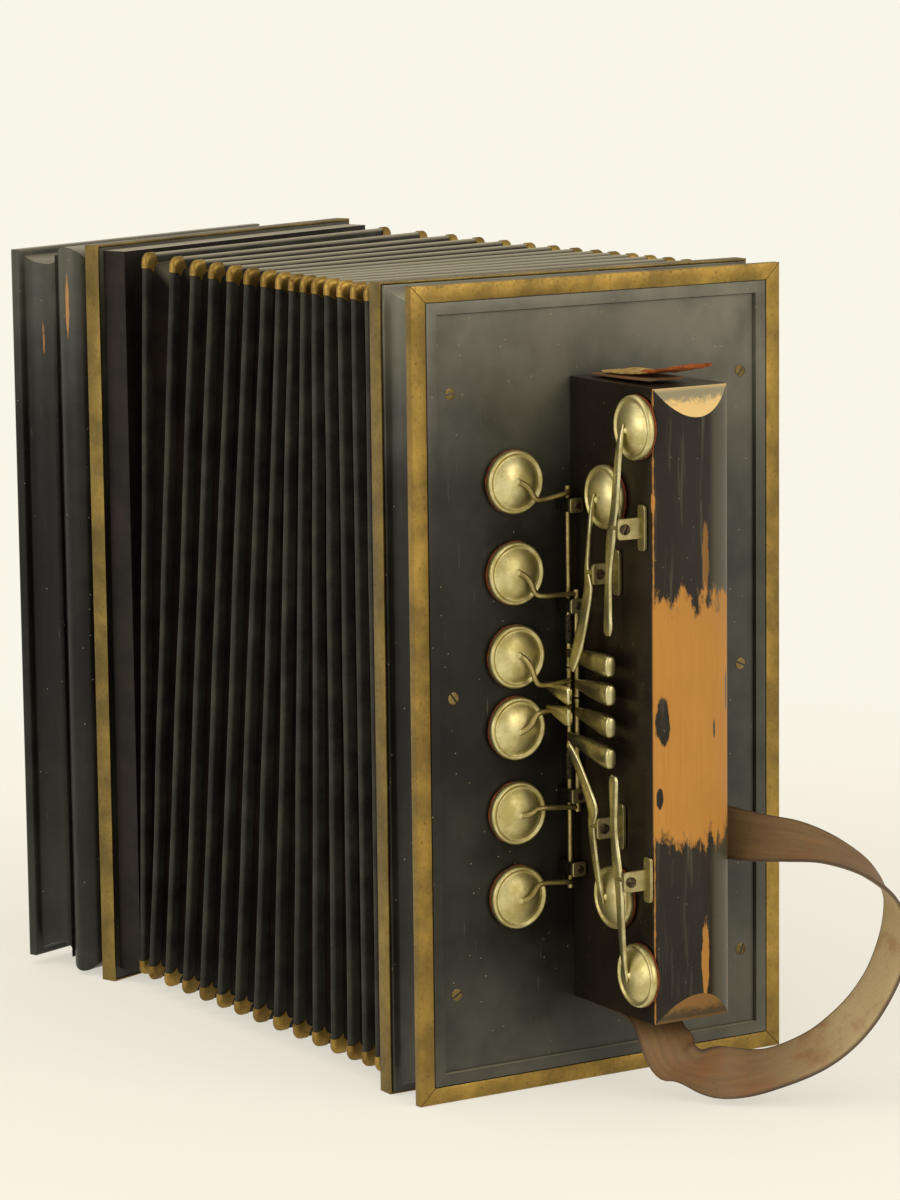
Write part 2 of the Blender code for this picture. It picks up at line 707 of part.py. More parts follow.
def make_rod_key(name, spec):
    """Pad, bent wire arm, turning axle and finger piece, as one rigid key."""
    x, y = spec["axle"]
    low, high = spec["rod"]
    key = add_object(name, cylinder_mesh(name, AXLE_RADIUS, (x, y, low), (x, y, high), 10), "nickel_silver")
    pad_base = PANEL_FACE + GAP
    top = pad_base + PAD_FELT + PAD_RISE
    pad = spec["pad"]
    boolean(key, pad_mesh("pad", Vector((pad_base, PANEL_PAD_Y, pad)), (1, 0, 0)), "UNION")
    elbow = spec["elbow"]
    over = max(top + 0.0016, x)
    arm = (
        (top - 0.0014, PANEL_PAD_Y, pad),
        (top + 0.0010, PANEL_PAD_Y + 0.0006, pad + (elbow - pad) * 0.04),
        (top + 0.0017, PANEL_PAD_Y + 0.0026, pad + (elbow - pad) * 0.36),
        (top + 0.0016, PANEL_PAD_Y + 0.0046, pad + (elbow - pad) * 0.86),
        (over, PANEL_PAD_Y + 0.0080, elbow),
        (over, LOWER_AXLE[1] - 0.0018, elbow * 0.25 + spec["arm"] * 0.75),
        (x, y, spec["arm"]),
    )
    boolean(key, wire_mesh("arm", arm, WIRE_RADIUS), "UNION")
    if "key" in spec:
        root, tip = spec["key"]
        start = (x + 0.0002, y - 0.0003, root)
        end = (KEY_TIP_X, BOX_SIDE - LOWER_AXLE_OFF_BOX - KEY_LEAN, tip)
        piece = finger_piece("key", start, end, (0.0014, 0.0034), (KEY_END_WIDE, KEY_END_TALL))
    else:
        root, tip = spec["touch"]
        start = (x - 0.0004, y - TOUCH_OFF_AXLE + 0.0002, root)
        end = (TOUCH_TIP_X, y - TOUCH_OFF_AXLE, tip)
        piece = finger_piece("touch", start, end, (0.0013, 0.0016), (0.0022, 0.0064))
    boolean(key, piece, "UNION")
    if "coil" in spec:
        bottom = spec["coil"]
        coil = cylinder_mesh("coil", COIL_RADIUS, (x, y, bottom), (x, y, bottom + COIL_LENGTH), 10)
        boolean(key, coil, "UNION")
    apply_all(key)
    on_axis(key, (x, y, (low + high) / 2))


def make_post(name, height):
    """A bearing post on the panel, bored for the lower and the upper axle."""
    half = POST_WIDTH / 2
    middle = (LOWER_AXLE[1] + UPPER_AXLE[1]) / 2
    low = (PANEL_FACE + GAP, middle - POST_DEPTH / 2, height - half)
    high = (UPPER_AXLE_X + AXLE_RADIUS + 0.0012, middle + POST_DEPTH / 2, height + half)
    post = add_object(name, box_mesh(name, low, high, 0.0003), "nickel_silver")
    reach = half + 0.002
    for x, y in (LOWER_AXLE, UPPER_AXLE):
        bore = cylinder_mesh("bore", AXLE_RADIUS + GAP, (x, y, height - reach), (x, y, height + reach), 14)
        boolean(post, bore, "DIFFERENCE")
    apply_all(post)


def make_side_lever(name, spec):
    """A flat lever that widens to a spatula finger piece, its pad, and the pin that it rocks on."""
    line = spec["line"]
    rings = []
    for i, (x, z, width, bend) in enumerate(line):
        before = Vector(line[max(i - 1, 0)][:2])
        after = Vector(line[min(i + 1, len(line) - 1)][:2])
        along = (after - before).normalized()
        across = Vector((along.y, -along.x))
        out = LEVER_Y - bend
        thick = LEVER_THICK * (0.6 if i in (0, len(line) - 1) else 1.0)
        ring = []
        for a, b in ((-1, -0.4), (-0.6, -1), (0.6, -1), (1, -0.4), (1, 0.7), (-1, 0.7)):
            ring.append((x + across.x * width / 2 * a, out + thick / 2 * b, z + across.y * width / 2 * a))
        rings.append(ring)
    lever = add_object(name, loft_mesh(name, rings, True), "nickel_silver")
    pad_x, pad_z = spec["pad"]
    pad_at = (pad_x, BOX_SIDE - GAP, pad_z)
    boolean(lever, pad_mesh("pad", pad_at, (0, -1, 0)), "UNION")
    toward = 1 if line[-1][1] > line[0][1] else -1
    stem_z = pad_z + 0.0012 * toward
    dome_y = BOX_SIDE - GAP - PAD_FELT - PAD_RISE + 0.0010
    stem = cylinder_mesh("stem", 0.0011, (pad_x, dome_y, stem_z), (pad_x, LEVER_Y, stem_z), 8)
    boolean(lever, stem, "UNION")
    pivot_x, pivot_z = spec["pivot"]
    upright = bracket_upright(spec)
    pin = cylinder_mesh("pin", AXLE_RADIUS, (pivot_x, LEVER_Y, pivot_z), (upright, LEVER_Y, pivot_z), 10)
    boolean(lever, pin, "UNION")
    apply_all(lever)
    on_axis(lever, (pivot_x, LEVER_Y, pivot_z))


def bracket_upright(spec):
    """Where a lever bracket's upright stands along X, just past the lever's edge."""
    return spec["pivot"][0] + 0.0062


def make_bracket(name, spec):
    """A sheet bracket on the box's side: foot, bored upright and a top plate over the lever."""
    x = bracket_upright(spec)
    z = spec["pivot"][1]
    half = 0.0036
    sheet = 0.0012
    plate_y = LEVER_Y - LEVER_THICK / 2 - 0.0008
    foot_y = BOX_SIDE - GAP
    outline = [
        (x - 0.0084, plate_y - sheet), (x + sheet, plate_y - sheet), (x + sheet, foot_y), (x, foot_y),
        (x, plate_y), (x - 0.0084, plate_y),
    ]
    bracket = add_object(name, extruded_mesh(name, outline, z - half, z + half, "Z"), "nickel_silver", 30.0)
    bore = cylinder_mesh("bore", AXLE_RADIUS + GAP, (x - 0.003, LEVER_Y, z), (x + 0.004, LEVER_Y, z), 14)
    boolean(bracket, bore, "DIFFERENCE")
    reach = BRACKET_FOOT / 2
    foot = box_mesh("foot", (x - 0.0008, foot_y - sheet, z - reach), (x + 0.0034, foot_y, z + reach))
    boolean(bracket, foot, "UNION")
    head = plate_y - sheet - 0.0009
    screw = cylinder_mesh("screw", 0.0019, (x - 0.0036, head, z), (x - 0.0036, plate_y - 0.0002, z), 12)
    boolean(bracket, screw, "UNION")
    apply_all(bracket)


def strap_mesh(name, route, width, thick):
    """A flat strip swept along a route of (middle, width direction) pairs."""
    rings = []
    for i, (point, across) in enumerate(route):
        before = Vector(route[max(i - 1, 0)][0])
        after = Vector(route[min(i + 1, len(route) - 1)][0])
        along = (after - before).normalized()
        across = Vector(across)
        across = (across - along * across.dot(along)).normalized()
        normal = along.cross(across).normalized()
        rings.append([
            Vector(point) + across * (width / 2 * a) + normal * (thick / 2 * b)
            for a, b in ((-1, -0.6), (-0.96, -1), (0.96, -1), (1, -0.6), (1, 0.6), (0.96, 1), (-0.96, 1), (-1, 0.6))
        ])
    return loft_mesh(name, rings, True)


def refined(route, per_span):
    """Points on a smooth curve through the route's own points, by Catmull-Rom spans."""
    fine = []
    for i in range(len(route) - 1):
        p0, p1, p2, p3 = (route[min(max(i + k, 0), len(route) - 1)] for k in (-1, 0, 1, 2))
        for step in range(per_span):
            t = step / per_span
            pair = []
            for a, b, c, d in zip(p0, p1, p2, p3):
                a, b, c, d = Vector(a), Vector(b), Vector(c), Vector(d)
                pair.append(0.5 * (2 * b + (c - a) * t + (2 * a - 5 * b + 4 * c - d) * t * t
                                   + (3 * b - a - 3 * c + d) * t**3))
            fine.append(tuple(pair))
    fine.append(tuple(Vector(v) for v in route[-1]))
    return fine


def make_straps():
    under = BOX_BOTTOM - GAP - STRAP_THICK / 2
    drop = under - STRAP_ROUTE[0][0][2]
    moved = [((x, y, z + drop), across) for (x, y, z), across in STRAP_ROUTE]
    mesh = strap_mesh("hand_strap", refined(moved, 2), STRAP_WIDTH, STRAP_THICK)
    add_object("hand_strap", mesh, "leather", 60.0)
    over = BOX_TOP + GAP + STRAP_THICK / 2
    route = [((x, BOX_CENTRE_Y - 0.002, over + rise - STUB_ROUTE[0][1]), (0.0, 1.0, 0.0)) for x, rise in STUB_ROUTE]
    mesh = strap_mesh("strap_stub", refined(route, 1), STRAP_WIDTH * 0.9, STRAP_THICK)
    add_object("strap_stub", mesh, "leather", 60.0)


def treble_profile():
    """The treble body's moulding from the ring outwards: fillet, small cove, big round bead, large cove, end bead."""
    ring = -TREBLE_BAND / 2
    wood = TRIM_THICK + GAP
    end = ring + TREBLE_BAND - TREBLE_DEPTH
    bead = (-0.0220, -0.0075)
    points = [(TREBLE_BAND / 2, wood), (ring - 0.0006, wood), (ring - 0.0006, 0.0034), (ring - 0.0018, 0.0052)]
    for i in range(1, 4):
        turn = math.radians(90 * i / 3)
        points.append((ring - 0.0018 - 0.0022 * math.sin(turn), 0.0052 + 0.0030 * (1 - math.cos(turn))))
    middle = sum(bead) / 2
    half = (bead[1] - bead[0]) / 2
    for i in range(9):
        turn = math.radians(180 * i / 8)
        points.append((middle + half * math.cos(turn), 0.0082 - 0.0068 * math.sin(turn)))
    cove = (end + 0.0052, bead[0] - 0.0010)
    middle = sum(cove) / 2
    half = (cove[1] - cove[0]) / 2
    for i in range(7):
        turn = math.radians(180 * i / 6)
        points.append((middle + half * math.cos(turn), TREBLE_INSET + 0.0014 + 0.0040 * math.sin(turn)))
    points += [(end + 0.0046, TREBLE_INSET), (end + 0.0012, TREBLE_INSET), (end, TREBLE_INSET + 0.0012)]
    return points, end


def make_treble_end():
    place = treble_place()
    outer, end = treble_profile()
    ledge = end + COVER_THICK + GAP
    profile = outer + [
        (end, 0.0110), (ledge, 0.0110), (ledge, TREBLE_WALL), (TREBLE_BAND / 2, TREBLE_WALL),
    ]
    mitred_frame("treble_frame", profile, END_WIDTH, END_HEIGHT, "black_lacquer", place)
    half = TREBLE_BAND / 2
    band = [(half, 0.0), (half, TRIM_THICK), (-half, TRIM_THICK), (-half, 0.0)]
    mitred_frame("treble_brass_band", band, END_WIDTH, END_HEIGHT, "brass", place)
    front = half + GAP
    back = front + BELLOWS_FRAME_TREBLE
    inner = FOLD_INSET + FOLD_DEPTH + CARD
    frame = [(front, FOLD_INSET), (front, inner), (back, inner), (back, FOLD_INSET)]
    rings = []
    half_width, half_height = fold_half_sizes()
    centre = END_HEIGHT / 2 + (FOLD_FOOT - FOLD_INSET) / 2
    for side_y, side_z in ((-1, -1), (1, -1), (1, 1), (-1, 1)):
        rings.append([
            place @ Vector((x, side_y * (half_width - inset + FOLD_INSET),
                            centre + side_z * (half_height - inset + FOLD_INSET)))
            for x, inset in frame
        ])
    add_object("treble_bellows_frame", loft_mesh("treble_bellows_frame", rings, False), "black_lacquer", 25.0)
    make_treble_cover(place, end)
    make_treble_inside(place)
    make_fingerboard(place, end)


def make_treble_cover(place, end):
    """The outer board, let into the body and pierced with three rows of sound slots."""
    inset = 0.0110 + GAP
    low = (end, -END_WIDTH / 2 + inset, inset)
    high = (end + COVER_THICK, END_WIDTH / 2 - inset, END_HEIGHT - inset)
    cover = add_object("treble_cover", box_mesh("treble_cover", low, high), "black_lacquer")
    slots = 7
    slot_tall = 0.0190
    first = 0.042
    pitch = (END_HEIGHT - 2 * first - slot_tall) / (slots - 1)
    for y in (-0.042, -0.020):
        for i in range(slots):
            z = first + pitch * i
            outline = slot_outline(y, z, z + slot_tall, 0.0028)
            mesh = extruded_mesh("slot", outline, end - 0.002, end + COVER_THICK + 0.002, "X")
            boolean(cover, mesh, "DIFFERENCE")
    apply_all(cover)
    cover.data.transform(place)


def slot_outline(y, low, high, radius):
    """A slot with round ends, standing upright."""
    top = arc((y, high - radius), radius, 0, 180, 3)
    bottom = arc((y, low + radius), radius, 180, 360, 3)
    return top + bottom


def make_treble_inside(place):
    """The action board across the treble body and the reed block that it carries into the bellows."""
    inset = TREBLE_WALL + GAP
    front = TREBLE_BAND / 2 - 0.002
    back = front - 0.005
    board = box_mesh(
        "treble_action_board", (back, -END_WIDTH / 2 + inset, inset), (front, END_WIDTH / 2 - inset, END_HEIGHT - inset)
    )
    action = add_object("treble_action_board", board, "bare_wood")
    for i in range(BUTTONS):
        z = button_height(i)
        hole = cylinder_mesh("hole", 0.0055, (back - 0.002, 0.0, z), (front + 0.002, 0.0, z), 10)
        boolean(action, hole, "DIFFERENCE")
    apply_all(action)
    action.data.transform(place)
    start = front + GAP
    depth = 0.036
    outline = [(start, -0.016), (start + depth, -0.011), (start + depth, 0.011), (start, 0.016)]
    mesh = extruded_mesh("treble_reed_block", outline, 0.045, END_HEIGHT - 0.045, "Z")
    block = add_object("treble_reed_block", mesh, "bare_wood")
    for i in range(BUTTONS):
        z = button_height(i)
        plate = box_mesh("plate", (start + 0.008, -0.0168, z - 0.0078), (start + depth - 0.003, 0.0168, z + 0.0078))
        boolean(block, plate, "UNION")
    apply_all(block)
    block.data.transform(place)


def button_height(index):
    return END_HEIGHT / 2 + (index - (BUTTONS - 1) / 2) * BUTTON_PITCH


def make_fingerboard(place, end):
    """A block with a crowned top on the outer board, bored for the button stems, and its ten buttons."""
    base = end - GAP
    top = base - FINGERBOARD_HEIGHT
    half = FINGERBOARD_WIDTH / 2
    outline = [
        (base, FINGERBOARD_OFFSET - half), (base, FINGERBOARD_OFFSET + half),
        (top + 0.003, FINGERBOARD_OFFSET + half), (top, FINGERBOARD_OFFSET + half - 0.003),
        (top, FINGERBOARD_OFFSET - half + 0.005), (top + 0.005, FINGERBOARD_OFFSET - half),
    ]
    low = (END_HEIGHT - FINGERBOARD_LENGTH) / 2
    mesh = extruded_mesh("fingerboard", outline, low, low + FINGERBOARD_LENGTH, "Z")
    board = add_object("fingerboard", mesh, "black_lacquer", 25.0)
    floor = base - 0.003
    for i in range(BUTTONS):
        z = button_height(i)
        bore = cylinder_mesh(
            "bore", STEM_RADIUS + GAP, (floor, FINGERBOARD_OFFSET, z), (top - 0.002, FINGERBOARD_OFFSET, z), 10
        )
        boolean(board, bore, "DIFFERENCE")
    apply_all(board)
    board.data.transform(place)
    for i in range(BUTTONS):
        make_button(i, place, top, floor)


def make_button(index, place, top, floor):
    """A turned button on its stem, standing proud of the fingerboard by its travel and a little more."""
    lift = BUTTON_RISE
    head = 0.0040
    stem_end = floor - top - 0.0045
    profile = [
        (0.0, lift), (BUTTON_RADIUS * 0.6, lift - 0.0004), (BUTTON_RADIUS, lift - 0.0016),
        (BUTTON_RADIUS, lift - head + 0.0030), (STEM_RADIUS, lift - head + 0.0026), (STEM_RADIUS, -stem_end),
        (0.0, -stem_end),
    ]
    name = f"treble_button_{index + 1:02d}"
    mesh = turned_mesh(name, profile, 12)
    turn = Vector((-1, 0, 0)).to_track_quat("Z", "Y").to_matrix().to_4x4()
    spot = Matrix.Translation((top, FINGERBOARD_OFFSET, button_height(index)))
    mesh.transform(spot @ turn)
    mesh.transform(place)
    button = add_object(name, mesh, "bone")
    on_axis(button, place @ Vector((top, FINGERBOARD_OFFSET, button_height(index))))


def stand_at_origin():
    """Moves the whole part so that the middle of its base lies at the origin, and returns the shift."""
    bpy.context.view_layer.update()
    graph = bpy.context.evaluated_depsgraph_get()
    low = Vector((1e9, 1e9, 1e9))
    high = -low
    for obj in PARTS.objects:
        evaluated = obj.evaluated_get(graph)
        for corner in evaluated.bound_box:
            point = evaluated.matrix_world @ Vector(corner)
            low = Vector(map(min, low, point))
            high = Vector(map(max, high, point))
    shift = Vector((-(low.x + high.x) / 2, -(low.y + high.y) / 2, -low.z))
    for obj in PARTS.objects:
        obj.location += shift
    bpy.context.view_layer.update()
    return shift


clear_scene()
PARTS = new_collection("accordion")
CUTTERS = new_collection("cutters")
make_bass_end()
make_bass_panel()
make_bass_reeds()
make_hand_box()
make_straps()
for key_name, key_spec in ROD_KEYS.items():
    make_rod_key(key_name, key_spec)
for post_name, post_height in POST_HEIGHTS.items():
    make_post(post_name, post_height)
for number, (lever_name, lever_spec) in enumerate(SIDE_LEVERS.items(), 1):
    make_side_lever(lever_name, lever_spec)
    make_bracket(f"lever_bracket_{number}", lever_spec)
for fold_number in range(1, FOLDS + 1):
    fold_ring(fold_number)
make_treble_end()
SHIFT = stand_at_origin()
print("shift", [round(value, 6) for value in SHIFT])
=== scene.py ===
"""The looks of a small button accordion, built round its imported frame.

Metres, +Z up. The maker's frame has its origin on the floor under the middle of the bass end's face:
+X points out of the bass panel and -Y to the front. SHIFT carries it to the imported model's frame.
"""

import math

import bmesh
import bpy
from mathutils import Matrix, Vector, noise


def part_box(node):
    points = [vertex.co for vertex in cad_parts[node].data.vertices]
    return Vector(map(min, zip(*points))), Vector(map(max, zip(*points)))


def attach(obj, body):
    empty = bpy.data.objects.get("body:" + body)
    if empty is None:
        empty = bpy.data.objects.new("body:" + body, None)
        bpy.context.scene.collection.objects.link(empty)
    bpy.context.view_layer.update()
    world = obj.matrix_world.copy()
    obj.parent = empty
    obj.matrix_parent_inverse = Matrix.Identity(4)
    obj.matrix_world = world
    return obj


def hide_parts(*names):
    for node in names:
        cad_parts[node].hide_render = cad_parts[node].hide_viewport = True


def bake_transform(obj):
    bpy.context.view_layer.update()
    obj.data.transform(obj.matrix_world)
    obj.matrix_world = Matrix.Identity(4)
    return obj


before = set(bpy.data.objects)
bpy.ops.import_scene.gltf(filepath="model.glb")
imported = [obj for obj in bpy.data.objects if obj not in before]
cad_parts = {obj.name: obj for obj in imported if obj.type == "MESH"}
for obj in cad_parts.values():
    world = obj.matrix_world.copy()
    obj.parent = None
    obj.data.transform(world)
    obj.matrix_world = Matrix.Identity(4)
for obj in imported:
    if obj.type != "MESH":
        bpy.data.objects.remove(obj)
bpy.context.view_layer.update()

# The ends
END_WIDTH = 0.150
END_HEIGHT = 0.280
GAP = 0.0003
TRIM_THICK = 0.0007
BASS_DEPTH = 0.027
BASS_WALL = 0.014
BRASS_FACE = 0.0057
BRASS_SIDE = 0.0036
BASS_BAND = 0.0070
BORDER = 0.0044
PANEL_RECESS = 0.0016
PANEL_THICK = 0.0040
PANEL_SCREW_Y = 0.0592
PANEL_SCREW_HEIGHTS = (0.0369, 0.1397, 0.2431)
BASS_COVE_DEPTH = 0.0050
TREBLE_DEPTH = 0.048
TREBLE_BAND = 0.0065
TREBLE_INSET = 0.0035
TREBLE_WALL = 0.016
COVER_THICK = 0.0040
FAN_ANGLE = math.radians(21.2)
TREBLE_SHIFT_X = -0.2477
TREBLE_SHIFT_Y = -0.0102

# The bellows
FOLDS = 15
FOLD_DEPTH = 0.018
CARD = 0.0016
FOLD_INSET = 0.0030
FOLD_FOOT = 0.0055
FOLD_SPREAD = 0.60
FOLD_LEAN = math.radians(4.8)
CORNER_RADIUS = 0.0030
BEAD_HALF = 0.0013
BEAD_DEEP = 0.0042
CAP_SHEET = 0.00035
CAP_REACH = 0.0053
BELLOWS_FRAME_BASS = 0.0030
BELLOWS_FRAME_TREBLE = 0.0100

# The hand box
BOX_LENGTH = 0.216
BOX_WIDTH = 0.030
BOX_HEIGHT = 0.050
BOX_CROWN = 0.0048
BOX_CENTRE_Y = 0.0034
BOX_CENTRE_Z = 0.138
BOX_CHAMFER = 0.0100

# Pads, levers and keys
PAD_RADIUS = 0.0109
PAD_FELT = 0.0018
PAD_RISE = 0.0040
WIRE_RADIUS = 0.00105
WIRE_TAPER = 0.0002
AXLE_RADIUS = 0.0009
LOWER_AXLE_X = 0.0042
LOWER_AXLE_OFF_BOX = 0.0047
UPPER_AXLE_X = 0.0066
UPPER_AXLE_OFF_BOX = 0.0030
COIL_LENGTH = 0.0100
COIL_RADIUS = 0.0015
COIL_TURNS = 15
LEVER_OFF_BOX = 0.0078
LEVER_THICK = 0.0014
BRACKET_OFF_PIVOT = 0.0062
BRACKET_SHEET = 0.0012
BRACKET_TALL = 0.0072
BRACKET_FOOT = 0.0155
PANEL_PAD_Y = -0.0352
POST_WIDTH = 0.0052
POST_DEPTH = 0.0056
KEY_TIP_X = 0.0335
KEY_LEAN = 0.0022
TOUCH_TIP_X = 0.0180
TOUCH_OFF_AXLE = 0.0087
KEY_END_TALL = 0.0075
KEY_END_WIDE = 0.0042

# The strap and the treble buttons
STRAP_WIDTH = 0.018
STRAP_THICK = 0.0018
BUTTONS = 10
BUTTON_PITCH = 0.0195
BUTTON_RADIUS = 0.0055
BUTTON_RISE = 0.0055
STEM_RADIUS = 0.0022
FINGERBOARD_HEIGHT = 0.017
FINGERBOARD_OFFSET = 0.044

PANEL_FACE = -PANEL_RECESS
BOX_BACK = PANEL_FACE + GAP
BOX_FRONT = BOX_BACK + BOX_HEIGHT
BOX_SIDE = BOX_CENTRE_Y - BOX_WIDTH / 2
BOX_BOTTOM = BOX_CENTRE_Z - BOX_LENGTH / 2
BOX_TOP = BOX_CENTRE_Z + BOX_LENGTH / 2
LOWER_AXLE = (LOWER_AXLE_X, BOX_SIDE - LOWER_AXLE_OFF_BOX)
UPPER_AXLE = (UPPER_AXLE_X, BOX_SIDE - UPPER_AXLE_OFF_BOX)
LEVER_Y = BOX_SIDE - LEVER_OFF_BOX
HALF_WIDTH = END_WIDTH / 2 - FOLD_INSET
HALF_HEIGHT = (END_HEIGHT - FOLD_FOOT - FOLD_INSET / 3) / 2

# Each panel key: its axle, the heights of pad, elbow and arm, the tube's two ends, the finger piece's form
# with its root and tip, and the foot of its coil spring
ROD_KEYS = (
    (LOWER_AXLE, 0.2117, 0.2057, 0.2077, (0.1472, 0.2095), "key", (0.1520, 0.1514), 0.1550),
    (UPPER_AXLE, 0.1805, 0.1728, 0.1725, (0.1368, 0.1740), "key", (0.1414, 0.1416), None),
    (LOWER_AXLE, 0.1519, 0.1421, 0.1426, (0.1378, 0.1467), "touch", (0.1410, 0.1397), None),
    (LOWER_AXLE, 0.1271, 0.1330, 0.1335, (0.1285, 0.1373), "touch", (0.1340, 0.1322), None),
    (UPPER_AXLE, 0.0977, 0.0996, 0.0984, (0.0970, 0.1362), "key", (0.1318, 0.1306), None),
    (LOWER_AXLE, 0.0683, 0.0733, 0.0722, (0.0700, 0.1280), "key", (0.1230, 0.1198), 0.1079),
)
# Each side lever in millimetres, from its pad to its finger end: (x, z, width), the fourth point at the
# pivot, and how far its last four points bend outward
SIDE_LEVERS = (
    (((41.1, 234.2, 1.0), (40.0, 225.0, 3.2), (37.8, 206.0, 4.2), (36.2, 199.2, 4.4), (35.2, 194.5, 5.0),
      (33.8, 183.0, 3.4), (33.8, 170.5, 4.2), (34.1, 164.5, 4.6), (34.4, 162.2, 2.6)), (0.0, 0.3, 0.6, 0.7)),
    (((23.1, 209.0, 1.0), (22.5, 200.0, 1.5), (21.2, 188.0, 1.6), (20.8, 182.3, 2.8), (21.4, 176.5, 4.6),
      (20.0, 168.0, 5.2), (18.3, 159.0, 5.6), (16.6, 151.5, 4.4), (15.8, 147.9, 1.8)), (0.7, 1.7, 2.8, 3.2)),
    (((27.4, 69.0, 1.0), (26.2, 77.0, 2.8), (23.6, 88.0, 3.6), (22.6, 95.5, 4.0), (23.2, 101.0, 5.8),
      (20.3, 108.0, 4.8), (16.7, 115.0, 4.4), (13.7, 120.2, 3.6), (12.4, 122.5, 1.8)), (0.6, 1.5, 2.4, 2.8)),
    (((41.5, 44.5, 1.0), (40.8, 56.0, 3.2), (39.6, 72.0, 4.2), (38.8, 79.9, 4.4), (37.6, 85.0, 5.0),
      (36.2, 96.0, 3.6), (36.5, 108.0, 4.6), (37.0, 113.0, 4.8), (37.3, 115.0, 2.8)), (0.0, 0.3, 0.6, 0.7)),
)
LEVER_ROOT_BENDS = (-1.2, -0.2, 0.0, 0.0, 0.0)
POST_HEIGHTS = (0.2030, 0.1685, 0.1026, 0.0770)
# The loose strap's middle line in millimetres and the way its width points, from under the box round to
# behind it
STRAP_ROUTE = (
    ((6.0, 1.0, 28.2), (0.0, -1.0, 0.0)), ((20.0, 0.6, 28.1), (0.0, -1.0, 0.0)),
    ((32.0, -0.7, 26.7), (-0.1, -1.0, 0.0)), ((41.0, -2.4, 21.8), (-0.50, -0.86, 0.08)),
    ((46.5, -1.0, 15.2), (-0.66, -0.68, -0.06)), ((50.0, 6.8, 11.6), (-0.52, -0.62, -0.42)),
    ((54.8, 16.5, 10.0), (0.10, -0.68, -0.66)), ((61.2, 26.8, 11.2), (0.56, -0.50, -0.60)),
    ((70.0, 38.0, 17.2), (0.80, -0.24, -0.50)), ((77.0, 45.6, 25.2), (0.90, -0.10, -0.40)),
    ((82.3, 51.8, 34.9), (0.98, 0.0, -0.12)), ((85.6, 57.5, 47.0), (1.0, 0.0, 0.05)),
    ((86.9, 60.6, 60.0), (1.0, -0.12, 0.02)), ((85.5, 59.2, 71.5), (0.90, -0.36, 0.04)),
    ((80.0, 53.5, 80.6), (0.74, -0.64, -0.04)), ((71.0, 45.6, 86.2), (0.64, -0.68, -0.26)),
    ((59.0, 38.0, 88.4), (0.60, -0.52, -0.56)), ((46.8, 32.0, 88.4), (0.56, -0.38, -0.70)),
    ((34.4, 27.6, 88.8), (0.42, -0.28, -0.84)), ((17.0, 24.4, 89.6), (0.18, -0.14, -0.96)),
)
# The stub's layers: name, width, thickness, seed, cup, fray, points to a span, and its line in millimetres
# from the box's upper end
STUB_LAYERS = (
    ("lower", 0.0165, 0.0009, 4.0, 0.0001, 0.0001, 6, (
        (4.0, 0.0, 0.5), (16.0, 0.0, 0.7), (28.0, 0.0, 0.9), (37.0, 0.0, 1.2))),
    ("split", 0.0150, 0.0008, 6.0, 0.0002, 0.0003, 6, (
        (9.0, 0.4, 1.8), (19.0, 0.4, 2.0), (27.0, 0.6, 2.5), (33.0, 0.8, 3.2))),
    ("torn_end", 0.0135, 0.0012, 8.0, 0.0002, 0.0005, 8, (
        (30.0, 1.2, 3.2), (37.0, 1.6, 4.0), (43.0, 2.2, 5.0), (49.0, 3.0, 6.2), (51.0, 3.4, 6.6))),
)

edge_low, edge_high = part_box("bass_brass_edge")
SHIFT = Vector((edge_high.x, (edge_low.y + edge_high.y) / 2, 0.0))
LEAST_RADIUS = 0.00002
# Angles in degrees under which an edge is shaded smooth, from cut sheet and mouldings to cloth and leather
CRISP = 35.0
ROUNDED = 50.0
SOFT = 60.0
SEED_STEP = 1.7


# Making shapes


def skin(rings, ends="capped"):
    """Points and faces of a surface laid over rings of equal point counts; its ends are capped or joined."""
    points = [Vector(point) for ring in rings for point in ring]
    count = len(rings[0])
    rows = len(rings)
    faces = []
    for row in range(rows if ends == "joined" else rows - 1):
        a = row * count
        b = ((row + 1) % rows) * count
        for i in range(count):
            j = (i + 1) % count
            faces.append((a + i, a + j, b + j, b + i))
    if ends == "capped":
        faces.append(tuple(range(count))[::-1])
        faces.append(tuple(range((rows - 1) * count, rows * count)))
    return points, faces


def together(*shapes):
    """Several shapes as one list of points and faces."""
    points = []
    faces = []
    for shape_points, shape_faces in shapes:
        base = len(points)
        points += shape_points
        faces += [tuple(i + base for i in face) for face in shape_faces]
    return points, faces


def put(name, data):
    """Links new data to the scene as an object."""
    made = bpy.data.objects.new(name, data)
    bpy.context.scene.collection.objects.link(made)
    return made


def make_piece(name, shape, finish, body, smooth=40.0, node=None):
    """Links a shape, in the maker's frame, as a piece that rides on a body and may stand for a node."""
    points, faces = shape
    mesh = bpy.data.meshes.new(name)
    mesh.from_pydata([tuple(point + SHIFT) for point in points], [], faces)
    tidy = bmesh.new()
    tidy.from_mesh(mesh)
    bmesh.ops.recalc_face_normals(tidy, faces=tidy.faces)
    tidy.to_mesh(mesh)
    tidy.free()
    mesh.materials.append(finish)
    mesh.shade_smooth()
    mesh.set_sharp_from_angle(angle=math.radians(smooth))
    piece = put(name, mesh)
    if body:
        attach(piece, body)
    if node:
        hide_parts(node)
    return piece


def circle(steps):
    """The cosine and sine at each step of a whole turn."""
    return [(math.cos(2 * math.pi * i / steps), math.sin(2 * math.pi * i / steps)) for i in range(steps)]


def arc(start, sweep, steps):
    """The cosine and sine at each step of an arc in degrees, with both its ends."""
    angles = [math.radians(start + sweep * i / steps) for i in range(steps + 1)]
    return [(math.cos(angle), math.sin(angle)) for angle in angles]


